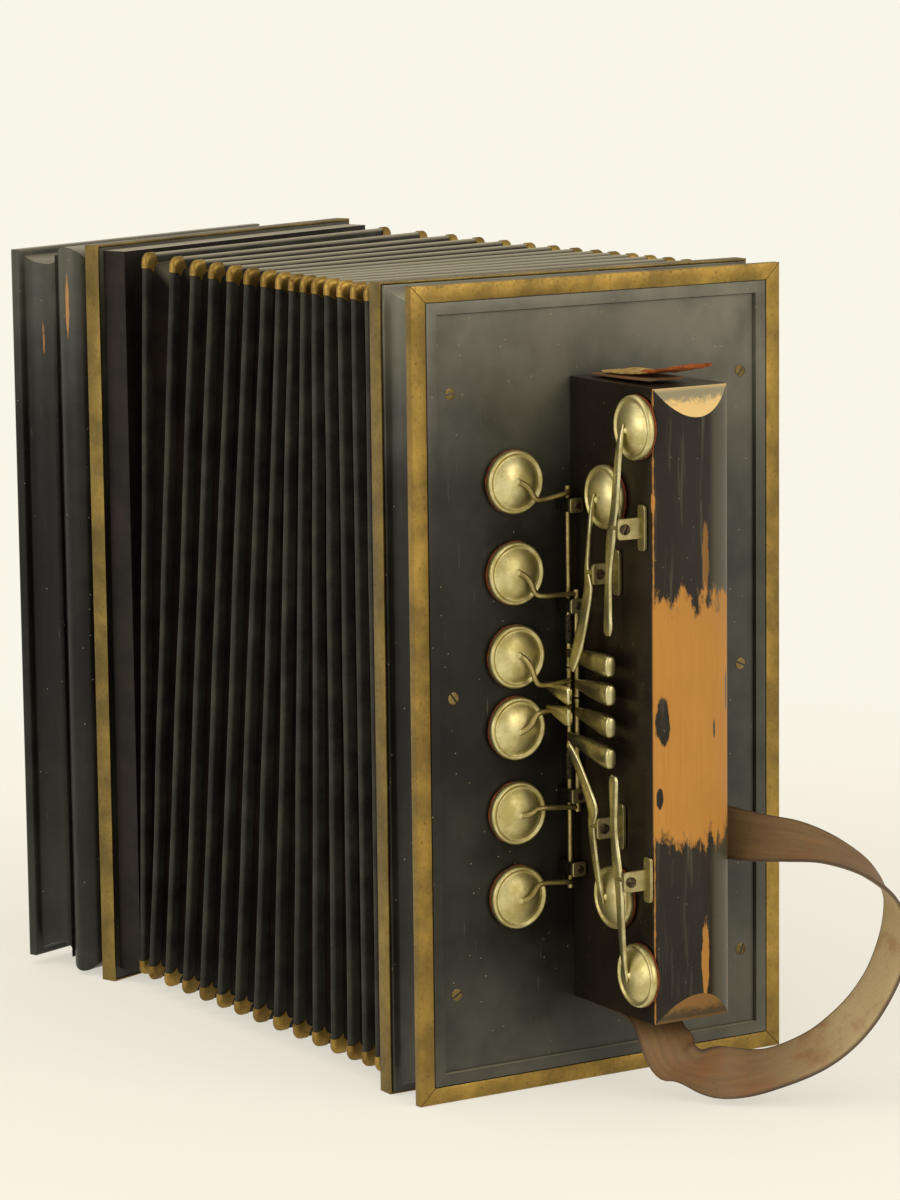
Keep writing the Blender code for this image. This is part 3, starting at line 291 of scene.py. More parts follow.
def turned(profile, centre, toward, steps=48):
    """A solid of revolution from (radius, height) pairs along a direction."""
    turn = Vector(toward).to_track_quat("Z", "Y").to_matrix()
    rings = []
    for radius, height in profile:
        reach = max(radius, LEAST_RADIUS)
        ring = [turn @ Vector((reach * a, reach * b, height)) for a, b in circle(steps)]
        rings.append([Vector(centre) + point for point in ring])
    return skin(rings)


def through(route, per_span):
    """Values on a smooth curve through a route's own values, by Catmull-Rom spans."""
    fine = []
    last = len(route) - 1
    for i in range(last):
        p0, p1, p2, p3 = (Vector(route[min(max(i + k, 0), last)]) for k in (-1, 0, 1, 2))
        for step in range(per_span):
            t = step / per_span
            fine.append(
                0.5 * (2 * p1 + (p2 - p0) * t + (2 * p0 - 5 * p1 + 4 * p2 - p3) * t * t
                       + (3 * p1 - p0 - 3 * p2 + p3) * t**3)
            )
    fine.append(Vector(route[last]))
    return fine


def neighbours(line, i):
    """The points before and after one point of a line, or the point itself at its ends."""
    return line[max(i - 1, 0)], line[min(i + 1, len(line) - 1)]


def tube(path, radii, sides=12):
    """A round bar along a path, of one radius or one for each point."""
    rings = []
    side = None
    for i, point in enumerate(path):
        before, after = neighbours(path, i)
        along = (after - before).normalized()
        side = along.orthogonal() if side is None else side - along * side.dot(along)
        side.normalize()
        other = along.cross(side)
        radius = radii if isinstance(radii, float) else radii[i]
        rings.append([point + (side * a + other * b) * radius for a, b in circle(sides)])
    return skin(rings)


def soft_square(steps, power):
    """Unit points round a square with soft corners; a lower power is squarer."""
    points = []
    for i in range(steps):
        angle = 2 * math.pi * (i + 0.5) / steps
        a, b = math.cos(angle), math.sin(angle)
        points.append((math.copysign(abs(a) ** power, a), math.copysign(abs(b) ** power, b)))
    return points


def eased(outline, reach, least_turn=28.0):
    """A closed outline with each corner that turns enough cut back by a small rounded arris."""
    rounded = []
    for i, here in enumerate(outline):
        here = Vector(here)
        before = Vector(outline[i - 1])
        after = Vector(outline[(i + 1) % len(outline)])
        cut = min(reach, min((before - here).length, (after - here).length) * 0.4)
        if (here - before).angle(after - here, 0.0) < math.radians(least_turn):
            rounded.append(tuple(here))
            continue
        start = here + (before - here).normalized() * cut
        end = here + (after - here).normalized() * cut
        rounded += [tuple(start), tuple((start + end) * 0.25 + here * 0.5), tuple(end)]
    return rounded


def make_moulding(name, node, body, profile, ease, finish, smooth, place=None, seed=None):
    """A moulding run round an end, mitred at its corners: each profile point is (x, inset). A strip of sheet
    brass, which has a seed, is a little wavy."""
    place = place or Matrix.Identity(4)
    per_side = 24 if seed else 1
    outline = eased(profile, ease)
    corners = ((-1, -1), (1, -1), (1, 1), (-1, 1))
    rings = []
    for k, (y_here, z_here) in enumerate(corners):
        y_next, z_next = corners[(k + 1) % 4]
        for i in range(per_side):
            t = i / per_side
            ring = []
            for x, inset in outline:
                y = (y_here + (y_next - y_here) * t) * (END_WIDTH / 2 - inset)
                z = END_HEIGHT / 2 + (z_here + (z_next - z_here) * t) * (END_HEIGHT / 2 - inset)
                lift = 0.00012 * noise.noise(Vector((seed + x * 8, y * 45, z * 45))) if i else 0.0
                ring.append(place @ Vector((x, y * (1 - abs(lift) * 12), z * (1 - abs(lift) * 6))))
            rings.append(ring)
    make_piece(name, skin(rings, "joined"), finish, body, smooth, node)


def slotted_head(centre, toward, radius, height, turn):
    """A screw's head with a cut slot: a base disc and two half-moons on it."""
    toward = Vector(toward).normalized()
    spin = toward.to_track_quat("Z", "Y").to_matrix() @ Matrix.Rotation(turn, 3, "Z")
    base = turned([(0, 0), (radius, 0), (radius, height * 0.45), (0, height * 0.45)], centre, toward, 28)
    halves = []
    open_angle = math.asin(0.17)
    for side in (1, -1):
        rings = []
        for level, share in ((0.3, 1.0), (0.72, 1.0), (0.95, 0.9), (1.0, 0.78)):
            ring = []
            for i in range(13):
                angle = open_angle + (math.pi - 2 * open_angle) * i / 12
                x = math.cos(angle) * radius * share
                y = max(math.sin(angle) * radius * share, radius * 0.15) * side
                ring.append(Vector(centre) + spin @ Vector((x, y, height * level)))
            rings.append(ring)
        halves.append(skin(rings))
    return together(base, *halves)


# Finishes


def linear(code):
    """An sRGB hex colour as the linear values that Blender's sockets hold."""
    parts = [int(code[i:i + 2], 16) / 255 for i in (0, 2, 4)]
    return tuple(c / 12.92 if c <= 0.04045 else ((c + 0.055) / 1.055) ** 2.4 for c in parts) + (1.0,)


def add(tree, kind, sockets=(), out=0, stops=None, **settings):
    """Adds one shader node with its settings and links, by socket or in the sockets' own order, and returns
    the output asked for."""
    made = tree.nodes.new("ShaderNode" + kind)
    for key, value in settings.items():
        setattr(made, key, value)
    if stops:
        ramp = made.color_ramp
        while len(ramp.elements) < len(stops):
            ramp.elements.new(0.5)
        for element, (position, level) in zip(ramp.elements, stops):
            element.position = position
            element.color = (level, level, level, 1.0)
    for key, value in sockets.items() if isinstance(sockets, dict) else enumerate(sockets):
        if isinstance(value, bpy.types.NodeSocket):
            tree.links.new(value, made.inputs[key])
        else:
            made.inputs[key].default_value = value
    return made.outputs[out]


def start_finish(name, values, turned_end=False):
    """A named material with plain values on its shader, and the maker's millimetres as a vector."""
    material = bpy.data.materials.new(name)
    material.use_nodes = True
    tree = material.node_tree
    for key, value in values.items():
        tree.nodes["Principled BSDF"].inputs[key].default_value = value
    spot = add(tree, "TexCoord", out="Object")
    turn = Matrix.Rotation(-FAN_ANGLE, 3, "Z") if turned_end else Matrix.Identity(3)
    origin = SHIFT + Vector((TREBLE_SHIFT_X, TREBLE_SHIFT_Y, 0.0)) if turned_end else SHIFT
    mm = add(tree, "Mapping", {
        "Vector": spot,
        "Location": -(turn @ origin) * 1000,
        "Rotation": (0.0, 0.0, -FAN_ANGLE if turned_end else 0.0),
        "Scale": (1000.0, 1000.0, 1000.0),
    })
    return material, tree, mm


def close_finish(material, relief, strength, depth, sockets):
    """Raises a relief, to a depth in millimetres, links the shader's sockets and returns the material."""
    tree = material.node_tree
    lift = {"Strength": strength, "Distance": depth / 1000, "Height": relief}
    if "Normal" in sockets:
        lift["Normal"] = sockets["Normal"]
    sockets = {**sockets, "Normal": add(tree, "Bump", lift)}
    for key, value in sockets.items():
        tree.links.new(value, tree.nodes["Principled BSDF"].inputs[key])
    return material


def stained(tree, colour, code, pattern, low=0.0, high=1.0, most=1.0, least=0.0):
    """The colour with a second one laid over it where a pattern rises from low to high."""
    level = add(tree, "MapRange", (pattern, low, high, least, most))
    return add(tree, "Mix", {0: level, 6: colour, 7: linear(code)}, 2, data_type="RGBA")


def dust_and_top_light(tree, colour, amount, least_slope=0.25):
    """The colour paled on whatever faces up: partly pale dust that has settled there, partly painted light
    from above.
    """
    facing = add(tree, "SeparateXYZ", (add(tree, "NewGeometry", out="Normal"),), "Z")
    return stained(tree, colour, "b5ae96", facing, least_slope, 0.9, amount)


def ragged_reach(tree, mm, spot, size, ragged):
    """How far each point lies from a worn spot, in the spot's own half sizes, with a ragged rim."""
    offset = add(tree, "VectorMath", (mm, spot), operation="SUBTRACT")
    scaled = add(tree, "VectorMath", (offset, size), operation="DIVIDE")
    far = add(tree, "VectorMath", (scaled,), "Value", operation="LENGTH")
    return add(tree, "Math", (far, ragged), operation="ADD")


def clouded(name, values, broad, fine, tones, low, high, turned_end=False):
    """A finish begun with broad clouds and fine grit, each as (scale, detail, roughness), and with two tones
    that follow the clouds."""
    material, tree, mm = start_finish(name, values, turned_end)
    cloud, grit = [
        add(tree, "TexNoise", {"Vector": mm, "Scale": scale, "Detail": detail, "Roughness": rough})
        for scale, detail, rough in (broad, fine)
    ]
    return material, tree, mm, cloud, grit, stained(tree, linear(tones[0]), tones[1], cloud, low, high)


# How much painted sheen, a painted reflection of the pale room, shows at each share of the height
PAINTED_SHEEN_BY_HEIGHT = (
    (0.0, 0.40), (0.08, 0.20), (0.20, 0.05), (0.55, 0.0), (0.76, 0.08), (0.90, 0.50), (1.0, 0.85),
)


def black_lacquer(name, turned_end=False, chips=(), painted_sheen_share=1.0):
    """Spirit-varnished wood, brushed on black: a deep soft gloss under a painted grey-green sheen that stands
    in for the pale room's reflection, with hair scratches, dust specks and small chips where the arrises were
    knocked."""
    material, tree, mm = start_finish(name, {"IOR": 1.42, "Roughness": 0.3}, turned_end)
    cloud = add(tree, "TexNoise", {"Vector": mm, "Scale": 0.022, "Detail": 4.0, "Roughness": 0.6})
    fine = add(tree, "TexNoise", {"Vector": mm, "Scale": 0.9, "Detail": 3.0})
    colour = stained(tree, linear("0b0a08"), "1c1a15", cloud)
    colour = stained(tree, colour, "35342b", cloud, 0.45, 0.75, 0.5)
    # A painted greenish grey sheen, standing in for the reflection of the pale room, lies toward the top and
    # the foot and on the panel's far side
    parts = add(tree, "SeparateXYZ", (mm,)).node.outputs
    height = add(tree, "Math", (parts["Z"], END_HEIGHT * 1000), operation="DIVIDE")
    painted_sheen = add(tree, "ValToRGB", (height,), "Color", PAINTED_SHEEN_BY_HEIGHT)
    sheen_patches = add(tree, "MapRange", (cloud, 0.30, 0.62, 0.25 * painted_sheen_share, 0.75 * painted_sheen_share))
    far_side_sheen = add(tree, "MapRange", (parts["Y"], 22.0, 62.0, 0.0, 0.22))
    painted_sheen = add(tree, "Math", (painted_sheen, far_side_sheen), operation="ADD")
    painted_sheen = add(tree, "Math", (painted_sheen, sheen_patches), operation="MULTIPLY")
    sheen = add(tree, "MapRange", (painted_sheen, 0.0, 0.12, 0.26, 0.5))
    # Painted reflection: pale grey-green laid on wherever the painted sheen rises
    colour = stained(tree, colour, "8d8b7b", painted_sheen)
    # Faces that look up are paled: partly dust, partly painted light from above
    colour = dust_and_top_light(tree, colour, 0.45)
    # Hair scratches run mostly upright: noise drawn out along Z, of which only the peaks show
    drawn = add(tree, "Mapping", {"Vector": mm, "Scale": (1.3, 1.3, 0.07), "Rotation": (0.25, 0.3, 0.0)})
    hairs = add(tree, "TexNoise", {"Vector": drawn, "Scale": 1.0, "Detail": 2.0})
    hairs = add(tree, "MapRange", (hairs, 0.70, 0.78, 0.0, 0.5))
    colour = stained(tree, colour, "5d594b", hairs)
    # Dust specks about 0.3 mm across, one in each few square centimetres
    specks = add(tree, "TexVoronoi", {"Vector": mm, "Scale": 0.22}, "Distance")
    colour = stained(tree, colour, "a79a7c", specks, 0.035, 0.06, 0.0, 0.8)
    for spot, size in chips:
        ragged = add(tree, "TexNoise", {"Vector": drawn, "Scale": 3.0, "Detail": 4.0})
        reach = ragged_reach(tree, mm, spot, size, ragged)
        colour = stained(tree, colour, "a87a45", reach, 1.08, 1.16, 0.0, 1.0)
    rough = add(tree, "MapRange", (cloud, 0.3, 0.7, 0.24, 0.42))
    ridges = add(tree, "Math", (fine, hairs), operation="SUBTRACT")
    sockets = {"Base Color": colour, "Roughness": rough, "Specular IOR Level": sheen}
    return close_finish(material, ridges, 0.35, 0.06, sockets)


# How a bare spot and a dark mark in the box's lacquer end: share of the ragged pattern, the reach at which
# the rim starts and ends, and how they join what is bare already
BARED = (1.3, 1.3, 1.42, "MAXIMUM")
MARKED = (1.5, 1.45, 1.6, "MULTIPLY")
# Smaller worn places and dark marks left inside the bare patch: middle and half size in millimetres, and
# how bare the wood is there and beyond
BOX_SPOTS = (
    (BARED, (52.0, 6.5, 190.0), (9.0, 2.0, 16.0), 0.45, 0.0),
    (BARED, (52.0, 6.0, 52.0), (9.0, 2.3, 20.0), 0.9, 0.0),
    (BARED, (52.0, 4.0, 36.0), (6.0, 6.0, 4.5), 1.0, 0.0),
    (BARED, (49.0, -11.6, 208.0), (2.0, 0.8, 5.0), 1.0, 0.0),
    (MARKED, (50.0, -9.0, 134.0), (8.0, 2.6, 11.0), 0.0, 1.0),
    (MARKED, (52.0, 10.2, 130.0), (8.0, 0.7, 5.0), 0.0, 1.0),
    (MARKED, (50.0, -10.0, 108.0), (8.0, 1.2, 5.0), 0.0, 1.0),
    (MARKED, (50.0, 17.0, 142.0), (8.0, 0.7, 9.0), 0.0, 1.0),
)


def worn_box_lacquer():
    """The hand box: limewood lacquered black, rubbed to the bare wood by the hand that lay on its front.
    The bare wood is smooth and honey brown with fine upright grain; the lacquer's edge is ragged along it."""
    values = {"IOR": 1.45, "Roughness": 0.3, "Specular IOR Level": 0.32}
    material, tree, mm = start_finish("hand_worn_lacquer", values)
    parts = add(tree, "SeparateXYZ", (mm,)).node.outputs
    front_x = BOX_FRONT * 1000
    cloud = add(tree, "TexNoise", {"Vector": mm, "Scale": 0.03, "Detail": 4.0, "Roughness": 0.6})
    lacquer = stained(tree, linear("0c0a06"), "2b2318", cloud)
    # Drawn out along the grain: upright smears of grey bloom, 1 to 3 mm wide, where the lacquer is rubbed
    # thin; fibres 0.4 mm wide and some 30 mm long; and the ragged edge of the bare patch
    smear_and_highlight, grain, torn = [
        add(tree, "TexNoise", {
            "Vector": add(tree, "Mapping", {"Vector": mm, "Scale": (across, across, upright)}),
            "Scale": 1.0, "Detail": detail, "Roughness": rough,
        })
        for across, upright, detail, rough in (
            (0.5, 0.03, 4.0, 0.6), (2.4, 0.035, 5.0, 0.6), (0.26, 0.09, 9.0, 0.72),
        )
    ]
    smear_and_highlight = add(tree, "MapRange", (smear_and_highlight, 0.54, 0.74, 0.0, 0.55))
    outer = add(tree, "MapRange", (parts["X"], front_x - 2.0, front_x))
    # Painted highlight: a pale grey streak down the crown, 8 to 11 mm out on Y, stands in for the lamp's
    # reflection
    streak = add(tree, "MapRange", (parts["Y"], 8.0, 11.0, 0.0, 0.45))
    smear_and_highlight = add(tree, "Math", (smear_and_highlight, streak), operation="MAXIMUM")
    smear_and_highlight = add(tree, "Math", (smear_and_highlight, outer), operation="MULTIPLY")
    # The grey of the rubbed smears, together with the painted highlight streak
    lacquer = stained(tree, lacquer, "5c5847", smear_and_highlight)
    specks = add(tree, "TexVoronoi", {"Vector": mm, "Scale": 0.26}, "Distance")
    lacquer = stained(tree, lacquer, "8f8468", specks, 0.03, 0.07, 0.0, 0.6)
    tone = add(tree, "TexNoise", {"Vector": mm, "Scale": 0.05, "Detail": 3.0})
    wood = stained(tree, linear("a06b2b"), "c28b3d", grain)
    wood = stained(tree, wood, "a87635", tone, 0.35, 0.7, 0.55)
    # The bare patch: between two heights that sway by 10 mm, and on the front only
    sway = add(tree, "MapRange", (torn, 0.25, 0.75, -10.0, 10.0))
    height = add(tree, "Math", (parts["Z"], sway), operation="ADD")
    bare = add(tree, "MapRange", (height, 173.6, 177.0, 1.0, 0.0))
    for value, low, high in ((height, 91.4, 95.4), (parts["X"], front_x - 1.0, front_x - 0.2)):
        within = add(tree, "MapRange", (value, low, high))
        bare = add(tree, "Math", (bare, within), operation="MULTIPLY")
    for (share, low, high, how), spot, size, inside, beyond in BOX_SPOTS:
        ragged = add(tree, "Math", (torn, share), operation="MULTIPLY")
        reach = ragged_reach(tree, mm, spot, size, ragged)
        level = add(tree, "MapRange", (reach, low, high, inside, beyond))
        bare = add(tree, "Math", (bare, level), operation=how)
    # Arrises rubbed through: a line half a millimetre wide along the front edges
    for side in (BOX_SIDE * 1000, (BOX_SIDE + BOX_WIDTH) * 1000):
        off_y = add(tree, "Math", (parts["Y"], side), operation="SUBTRACT")
        off_x = add(tree, "Math", (parts["X"], front_x), operation="SUBTRACT")
        both = add(tree, "CombineXYZ", (off_x, off_y))
        far = add(tree, "VectorMath", (both,), "Value", operation="LENGTH")
        ragged = add(tree, "TexNoise", {"Vector": mm, "Scale": 0.35, "Detail": 3.0})
        reach = add(tree, "Math", (far, ragged), operation="SUBTRACT")
        line = add(tree, "MapRange", (reach, -0.26, -0.06, 0.8, 0.0))
        bare = add(tree, "Math", (bare, line), operation="MAXIMUM")
    colour = add(tree, "Mix", {0: bare, 6: lacquer, 7: wood}, 2, data_type="RGBA")
    gloss = add(tree, "MapRange", (cloud, 0.3, 0.7, 0.22, 0.40))
    rough = add(tree, "Mix", {0: bare, 2: gloss, 3: 0.55})
    step = add(tree, "Math", (bare, -1.0), operation="MULTIPLY")
    grained = add(tree, "Math", (grain, 0.5), operation="MULTIPLY")
    relief = add(tree, "Math", (step, grained), operation="ADD")
    return close_finish(material, relief, 0.5, 0.1, {"Base Color": colour, "Roughness": rough})


def chamfer_wood():
    """The box's cut ends: end grain rubbed pale at its rim, with the old black still in its pores."""
    material, tree, mm = start_finish("worn_end_grain", {"IOR": 1.45, "Roughness": 0.5})
    pores = add(tree, "TexNoise", {"Vector": mm, "Scale": 0.5, "Detail": 6.0, "Roughness": 0.7})
    up = add(tree, "SeparateXYZ", (mm,), "Z")
    high = add(tree, "Math", (up, BOX_CENTRE_Z * 1000), operation="SUBTRACT")
    high = add(tree, "Math", (high,), operation="ABSOLUTE")
    # 0 at the box's end face and 1 at the tip of the crescent, 10 mm down
    down = add(tree, "MapRange", (high, 108.0, 98.0))
    ragged = add(tree, "Math", (pores, 0.9), operation="MULTIPLY")
    worn = add(tree, "Math", (down, ragged), operation="ADD")
    pale = add(tree, "MapRange", (worn, 0.75, 1.0))
    rim = add(tree, "MapRange", (down, 0.0, 0.14, 0.7, 0.0))
    pale = add(tree, "Math", (pale, rim), operation="MAXIMUM")
    # Painted light and shade: the upper end, which faces up toward the light, is painted paler grey and gold,
    # the lower one darker brown
    dark, light = [
        stained(tree, linear(lower), upper, up, 120.0, 160.0)
        for lower, upper in (("4a3a20", "8a8264"), ("84602c", "dcbb7a"))
    ]
    colour = add(tree, "Mix", {0: pale, 6: dark, 7: light}, 2, data_type="RGBA")
    return close_finish(material, pores, 0.5, 0.1, {"Base Color": colour})


def tarnished_brass(name, dull, bright, turned_end=False, shine=0.35, mitred=False):
    """Rolled sheet brass gone brown with age: dull olive and brown clouds, with brighter yellow where it is
    rubbed, dark spots of corrosion and a soft blurred shine; a mitred strip has a dark line at each
    corner."""
    material, tree, mm, cloud, grit, colour = clouded(
        name, {"Metallic": 1.0, "Roughness": 0.4}, (0.06, 5.0, 0.6), (0.8, 4.0, 0.65), (dull, bright),
        0.38, 0.68, turned_end
    )
    colour = stained(tree, colour, "3b2a14", grit, 0.60, 0.72, 0.8)
    if mitred:
        parts = add(tree, "SeparateXYZ", (mm,)).node.outputs
        across = add(tree, "Math", (parts["Y"],), operation="ABSOLUTE")
        upward = add(tree, "Math", (parts["Z"], END_HEIGHT * 500), operation="SUBTRACT")
        upward = add(tree, "Math", (upward,), operation="ABSOLUTE")
        gap = add(tree, "Math", (upward, across), operation="SUBTRACT")
        line = add(tree, "Math", (gap, (END_HEIGHT - END_WIDTH) * 500, 0.16), operation="COMPARE")
        colour = stained(tree, colour, "2a1d0e", line)
    rough = add(tree, "MapRange", (grit, 0.3, 0.7, shine, shine + 0.25))
    dents = add(tree, "Bump", {"Strength": 0.5, "Distance": 0.00008, "Height": cloud})
    sockets = {"Base Color": colour, "Roughness": rough, "Normal": dents}
    return close_finish(material, grit, 0.3, 0.04, sockets)


def nickel_silver(name, body, light, shine):
    """Pressed nickel silver, yellowed by age: pale greenish gold, cloudy, with brown stain in the hollows and
    small pits; satin from handling."""
    material, tree, _, cloud, grit, colour = clouded(
        name, {"Metallic": 1.0, "Roughness": 0.35}, (0.16, 4.0, 0.6), (1.1, 4.0, 0.65), (body, light),
        0.36, 0.64
    )
    colour = stained(tree, colour, "6b5a33", grit, 0.60, 0.76, 0.55)
    rough = add(tree, "MapRange", (cloud, 0.3, 0.7, shine + 0.16, shine))
    return close_finish(material, grit, 0.25, 0.04, {"Base Color": colour, "Roughness": rough})


def book_cloth(name, dark, grey, dust):
    """Black glazed book cloth pasted over card: a fine weave, matt in the valleys, and rubbed grey with dust
    along the folds that were handled. Its threads are 0.5 mm apart, coarser than real so that they show."""
    values = {"IOR": 1.4, "Roughness": 0.6, "Specular IOR Level": 0.4}
    material, tree, _, _, thread, colour = clouded(
        name, values, (0.07, 5.0, 0.65), (2.0, 2.0, 0.5), (dark, grey), 0.4, 0.72
    )
    colour = stained(tree, colour, "6a6453", thread, 0.62, 0.8, dust)
    # Faces that look up are paled: partly dust, partly painted light from above
    return close_finish(material, thread, 0.4, 0.08, {"Base Color": dust_and_top_light(tree, colour, 0.72, 0.05)})


def strap_leather():
    """Old dry cowhide cut in a strip: greyish brown, rubbed smooth along its length, rusty where the grain
    has gone, with fine cracks across and darker edges."""
    material, tree, mm = start_finish("dry_cowhide", {"IOR": 1.45, "Roughness": 0.6})
    run = add(tree, "Attribute", out="Vector", attribute_name="strap_run")
    parts = add(tree, "SeparateXYZ", (run,)).node.outputs
    lay = add(tree, "Mapping", {"Vector": run, "Scale": (0.05, 0.6, 1.0)})
    streak = add(tree, "TexNoise", {"Vector": lay, "Scale": 1.0, "Detail": 5.0, "Roughness": 0.65})
    cloud = add(tree, "TexNoise", {"Vector": mm, "Scale": 0.05, "Detail": 5.0, "Roughness": 0.65})
    grit = add(tree, "TexNoise", {"Vector": mm, "Scale": 1.3, "Detail": 4.0, "Roughness": 0.7})
    colour = stained(tree, linear("56412a"), "8a6b42", streak)
    # The grain side is worn pale, the flesh side stays brown
    side = add(tree, "MapRange", (parts["Z"], -0.9, 0.9, 0.75, 0.0))
    open_part = add(tree, "MapRange", (parts["X"], 72.0, 112.0))
    side = add(tree, "Math", (side, open_part), operation="MULTIPLY")
    colour = stained(tree, colour, "c0ab80", side)
    colour = stained(tree, colour, "83502c", cloud, 0.50, 0.68, 0.75)
    colour = stained(tree, colour, "3f2f20", grit, 0.58, 0.72, 0.6)
    edge = add(tree, "Math", (parts["Y"],), operation="ABSOLUTE")
    colour = stained(tree, colour, "3a2a22", edge, 8.0, 9.0, 0.8)
    relief = add(tree, "Math", (grit, streak), operation="ADD")
    return close_finish(material, relief, 0.6, 0.15, {"Base Color": colour})


def torn_leather(name, dark, light):
    """Leather torn or cut through: matt, fibrous and unevenly coloured."""
    values = {"IOR": 1.4, "Roughness": 0.85, "Specular IOR Level": 0.25}
    material, _, _, _, grit, colour = clouded(
        name, values, (0.24, 5.0, 0.7), (2.0, 3.0, 0.5), (dark, light), 0.35, 0.65
    )
    return close_finish(material, grit, 0.8, 0.25, {"Base Color": colour})


def plain_wood():
    """Planed spruce and lime inside the ends: straight pale grain, no finish, a little dusty."""
    material, tree, mm = start_finish("planed_lime", {"IOR": 1.45, "Roughness": 0.7})
    fibres = add(tree, "Mapping", {"Vector": mm, "Scale": (1.2, 1.2, 0.03)})
    grain = add(tree, "TexNoise", {"Vector": fibres, "Scale": 1.0, "Detail": 5.0, "Roughness": 0.6})
    colour = stained(tree, linear("8a6436"), "c79a60", grain)
    return close_finish(material, grain, 0.4, 0.1, {"Base Color": colour})


def turned_bone():
    """Turned and polished bone: ivory white gone cream, with short brown canals and a wet-looking polish."""
    values = {"IOR": 1.55, "Roughness": 0.28, "Subsurface Weight": 0.15, "Subsurface Scale": 0.0008}
    material, tree, mm = start_finish("turned_bone", values, True)
    lay = add(tree, "Mapping", {"Vector": mm, "Scale": (2.5, 2.5, 0.5)})
    canals = add(tree, "TexNoise", {"Vector": lay, "Scale": 1.0, "Detail": 3.0})
    cloud = add(tree, "TexNoise", {"Vector": mm, "Scale": 0.12, "Detail": 3.0})
    colour = stained(tree, linear("cdb98a"), "e6dabb", cloud)
    colour = stained(tree, colour, "8e7348", canals, 0.62, 0.75, 0.6)
    return close_finish(material, canals, 0.15, 0.04, {"Base Color": colour})


def old_steel(name, dark, light):
    """Blued steel wire and screws with age: nearly black, browned, with a dull metal glint."""
    material, tree, mm = start_finish(name, {"Metallic": 0.85, "Roughness": 0.45})
    grit = add(tree, "TexNoise", {"Vector": mm, "Scale": 0.9, "Detail": 4.0, "Roughness": 0.7})
    colour = stained(tree, linear(dark), light, grit, 0.4, 0.7)
    return close_finish(material, grit, 0.4, 0.05, {"Base Color": colour})


TREBLE_CHIPS = (((-14.0, -73.6, 257.0), (1.2, 4.0, 18.0)), ((-33.0, -71.5, 243.0), (1.3, 9.0, 17.0)))
LACQUER = black_lacquer("brushed_black_lacquer")
TREBLE_LACQUER = black_lacquer("treble_black_lacquer", True, TREBLE_CHIPS, 0.4)
BOX_LACQUER = worn_box_lacquer()
BOX_ENDS = chamfer_wood()
EDGE_BRASS = tarnished_brass("edge_strip_brass", "7e6838", "ac8d48", mitred=True)
BAND_BRASS = tarnished_brass("band_brass", "6f5f38", "9a8247")
TREBLE_BRASS = tarnished_brass("treble_band_brass", "6f5f38", "9a8247", True)
CAP_BRASS = tarnished_brass("pressed_cap_brass", "7b6233", "b9984f", shine=0.36)
PAD_METAL = nickel_silver("pad_nickel_silver", "b9ac70", "dbd19c", 0.40)
KEY_METAL = nickel_silver("key_nickel_silver", "a99e6c", "d6ce9f", 0.26)
FITTING_METAL = nickel_silver("fitting_nickel_silver", "93875a", "b9ae7d", 0.34)
ROD_METAL = nickel_silver("rod_nickel_silver", "8a7a4c", "b0a06c", 0.34)
RIDGE_CLOTH = book_cloth("rubbed_book_cloth", "1d1c18", "3a382f", 0.5)
FOLD_CLOTH = book_cloth("folded_book_cloth", "110c09", "2a1e16", 0.15)
COWHIDE = strap_leather()
PAD_LEATHER = torn_leather("pad_leather", "592a13", "8c4a26")
TORN_RUST = torn_leather("torn_leather_end", "6a3217", "a85c2c")
TORN_PALE = torn_leather("split_leather", "8a6c3c", "c3a468")
BARE_WOOD = plain_wood()
BONE = turned_bone()
SPRING_STEEL = old_steel("blued_spring_steel", "1a1713", "4a4436")
SCREW_STEEL = old_steel("browned_screw_steel", "2e2118", "6d5d44")
SCREW_BRASS = tarnished_brass("screw_brass", "5a4c2a", "85734a", shine=0.4)


def dress(node, finish):
    """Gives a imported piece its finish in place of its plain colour."""
    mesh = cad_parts[node].data
    mesh.materials.clear()
    mesh.materials.append(finish)
    for polygon in mesh.polygons:
        polygon.material_index = 0


# The bellows


def treble_place():
    """Where the treble end stands, turned from the bass end."""
    shift = Matrix.Translation((TREBLE_SHIFT_X, TREBLE_SHIFT_Y, 0.0))
    return shift @ Matrix.Rotation(FAN_ANGLE, 4, "Z")


def smooth_step(value):
    """A value from 0 to 1 that leaves and arrives gently."""
    value = min(1.0, max(0.0, value))
    return value * value * (3 - 2 * value)


def fold_plane(u):
    """The bellows' cross-section at share u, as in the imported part's own making."""
    bass = Vector((-BASS_DEPTH - BELLOWS_FRAME_BASS - GAP, 0.0, 0.0))
    treble = treble_place() @ Vector((TREBLE_BAND / 2 + BELLOWS_FRAME_TREBLE + 2 * GAP, 0.0, 0.0))
    share = u + FOLD_SPREAD * (u * u - u) / 2
    middle = bass.lerp(treble, share)
    middle.z = END_HEIGHT / 2 + (FOLD_FOOT - FOLD_INSET) / 2
    lean = FOLD_LEAN * smooth_step((share - 0.08) / 0.42) * (1 - share**12)
    turn = Matrix.Rotation(FAN_ANGLE * share, 4, "Z") @ Matrix.Rotation(lean, 4, "Y")
    return Matrix.Translation(middle) @ turn


FOLD_CORNERS = ((1, -1), (1, 1), (-1, 1), (-1, -1))


def corner_middle(inset, quarter):
    """The middle of one corner's rounding, at an inset."""
    side_y, side_z = FOLD_CORNERS[quarter]
    return side_y * (HALF_WIDTH - inset - CORNER_RADIUS), side_z * (HALF_HEIGHT - inset - CORNER_RADIUS)


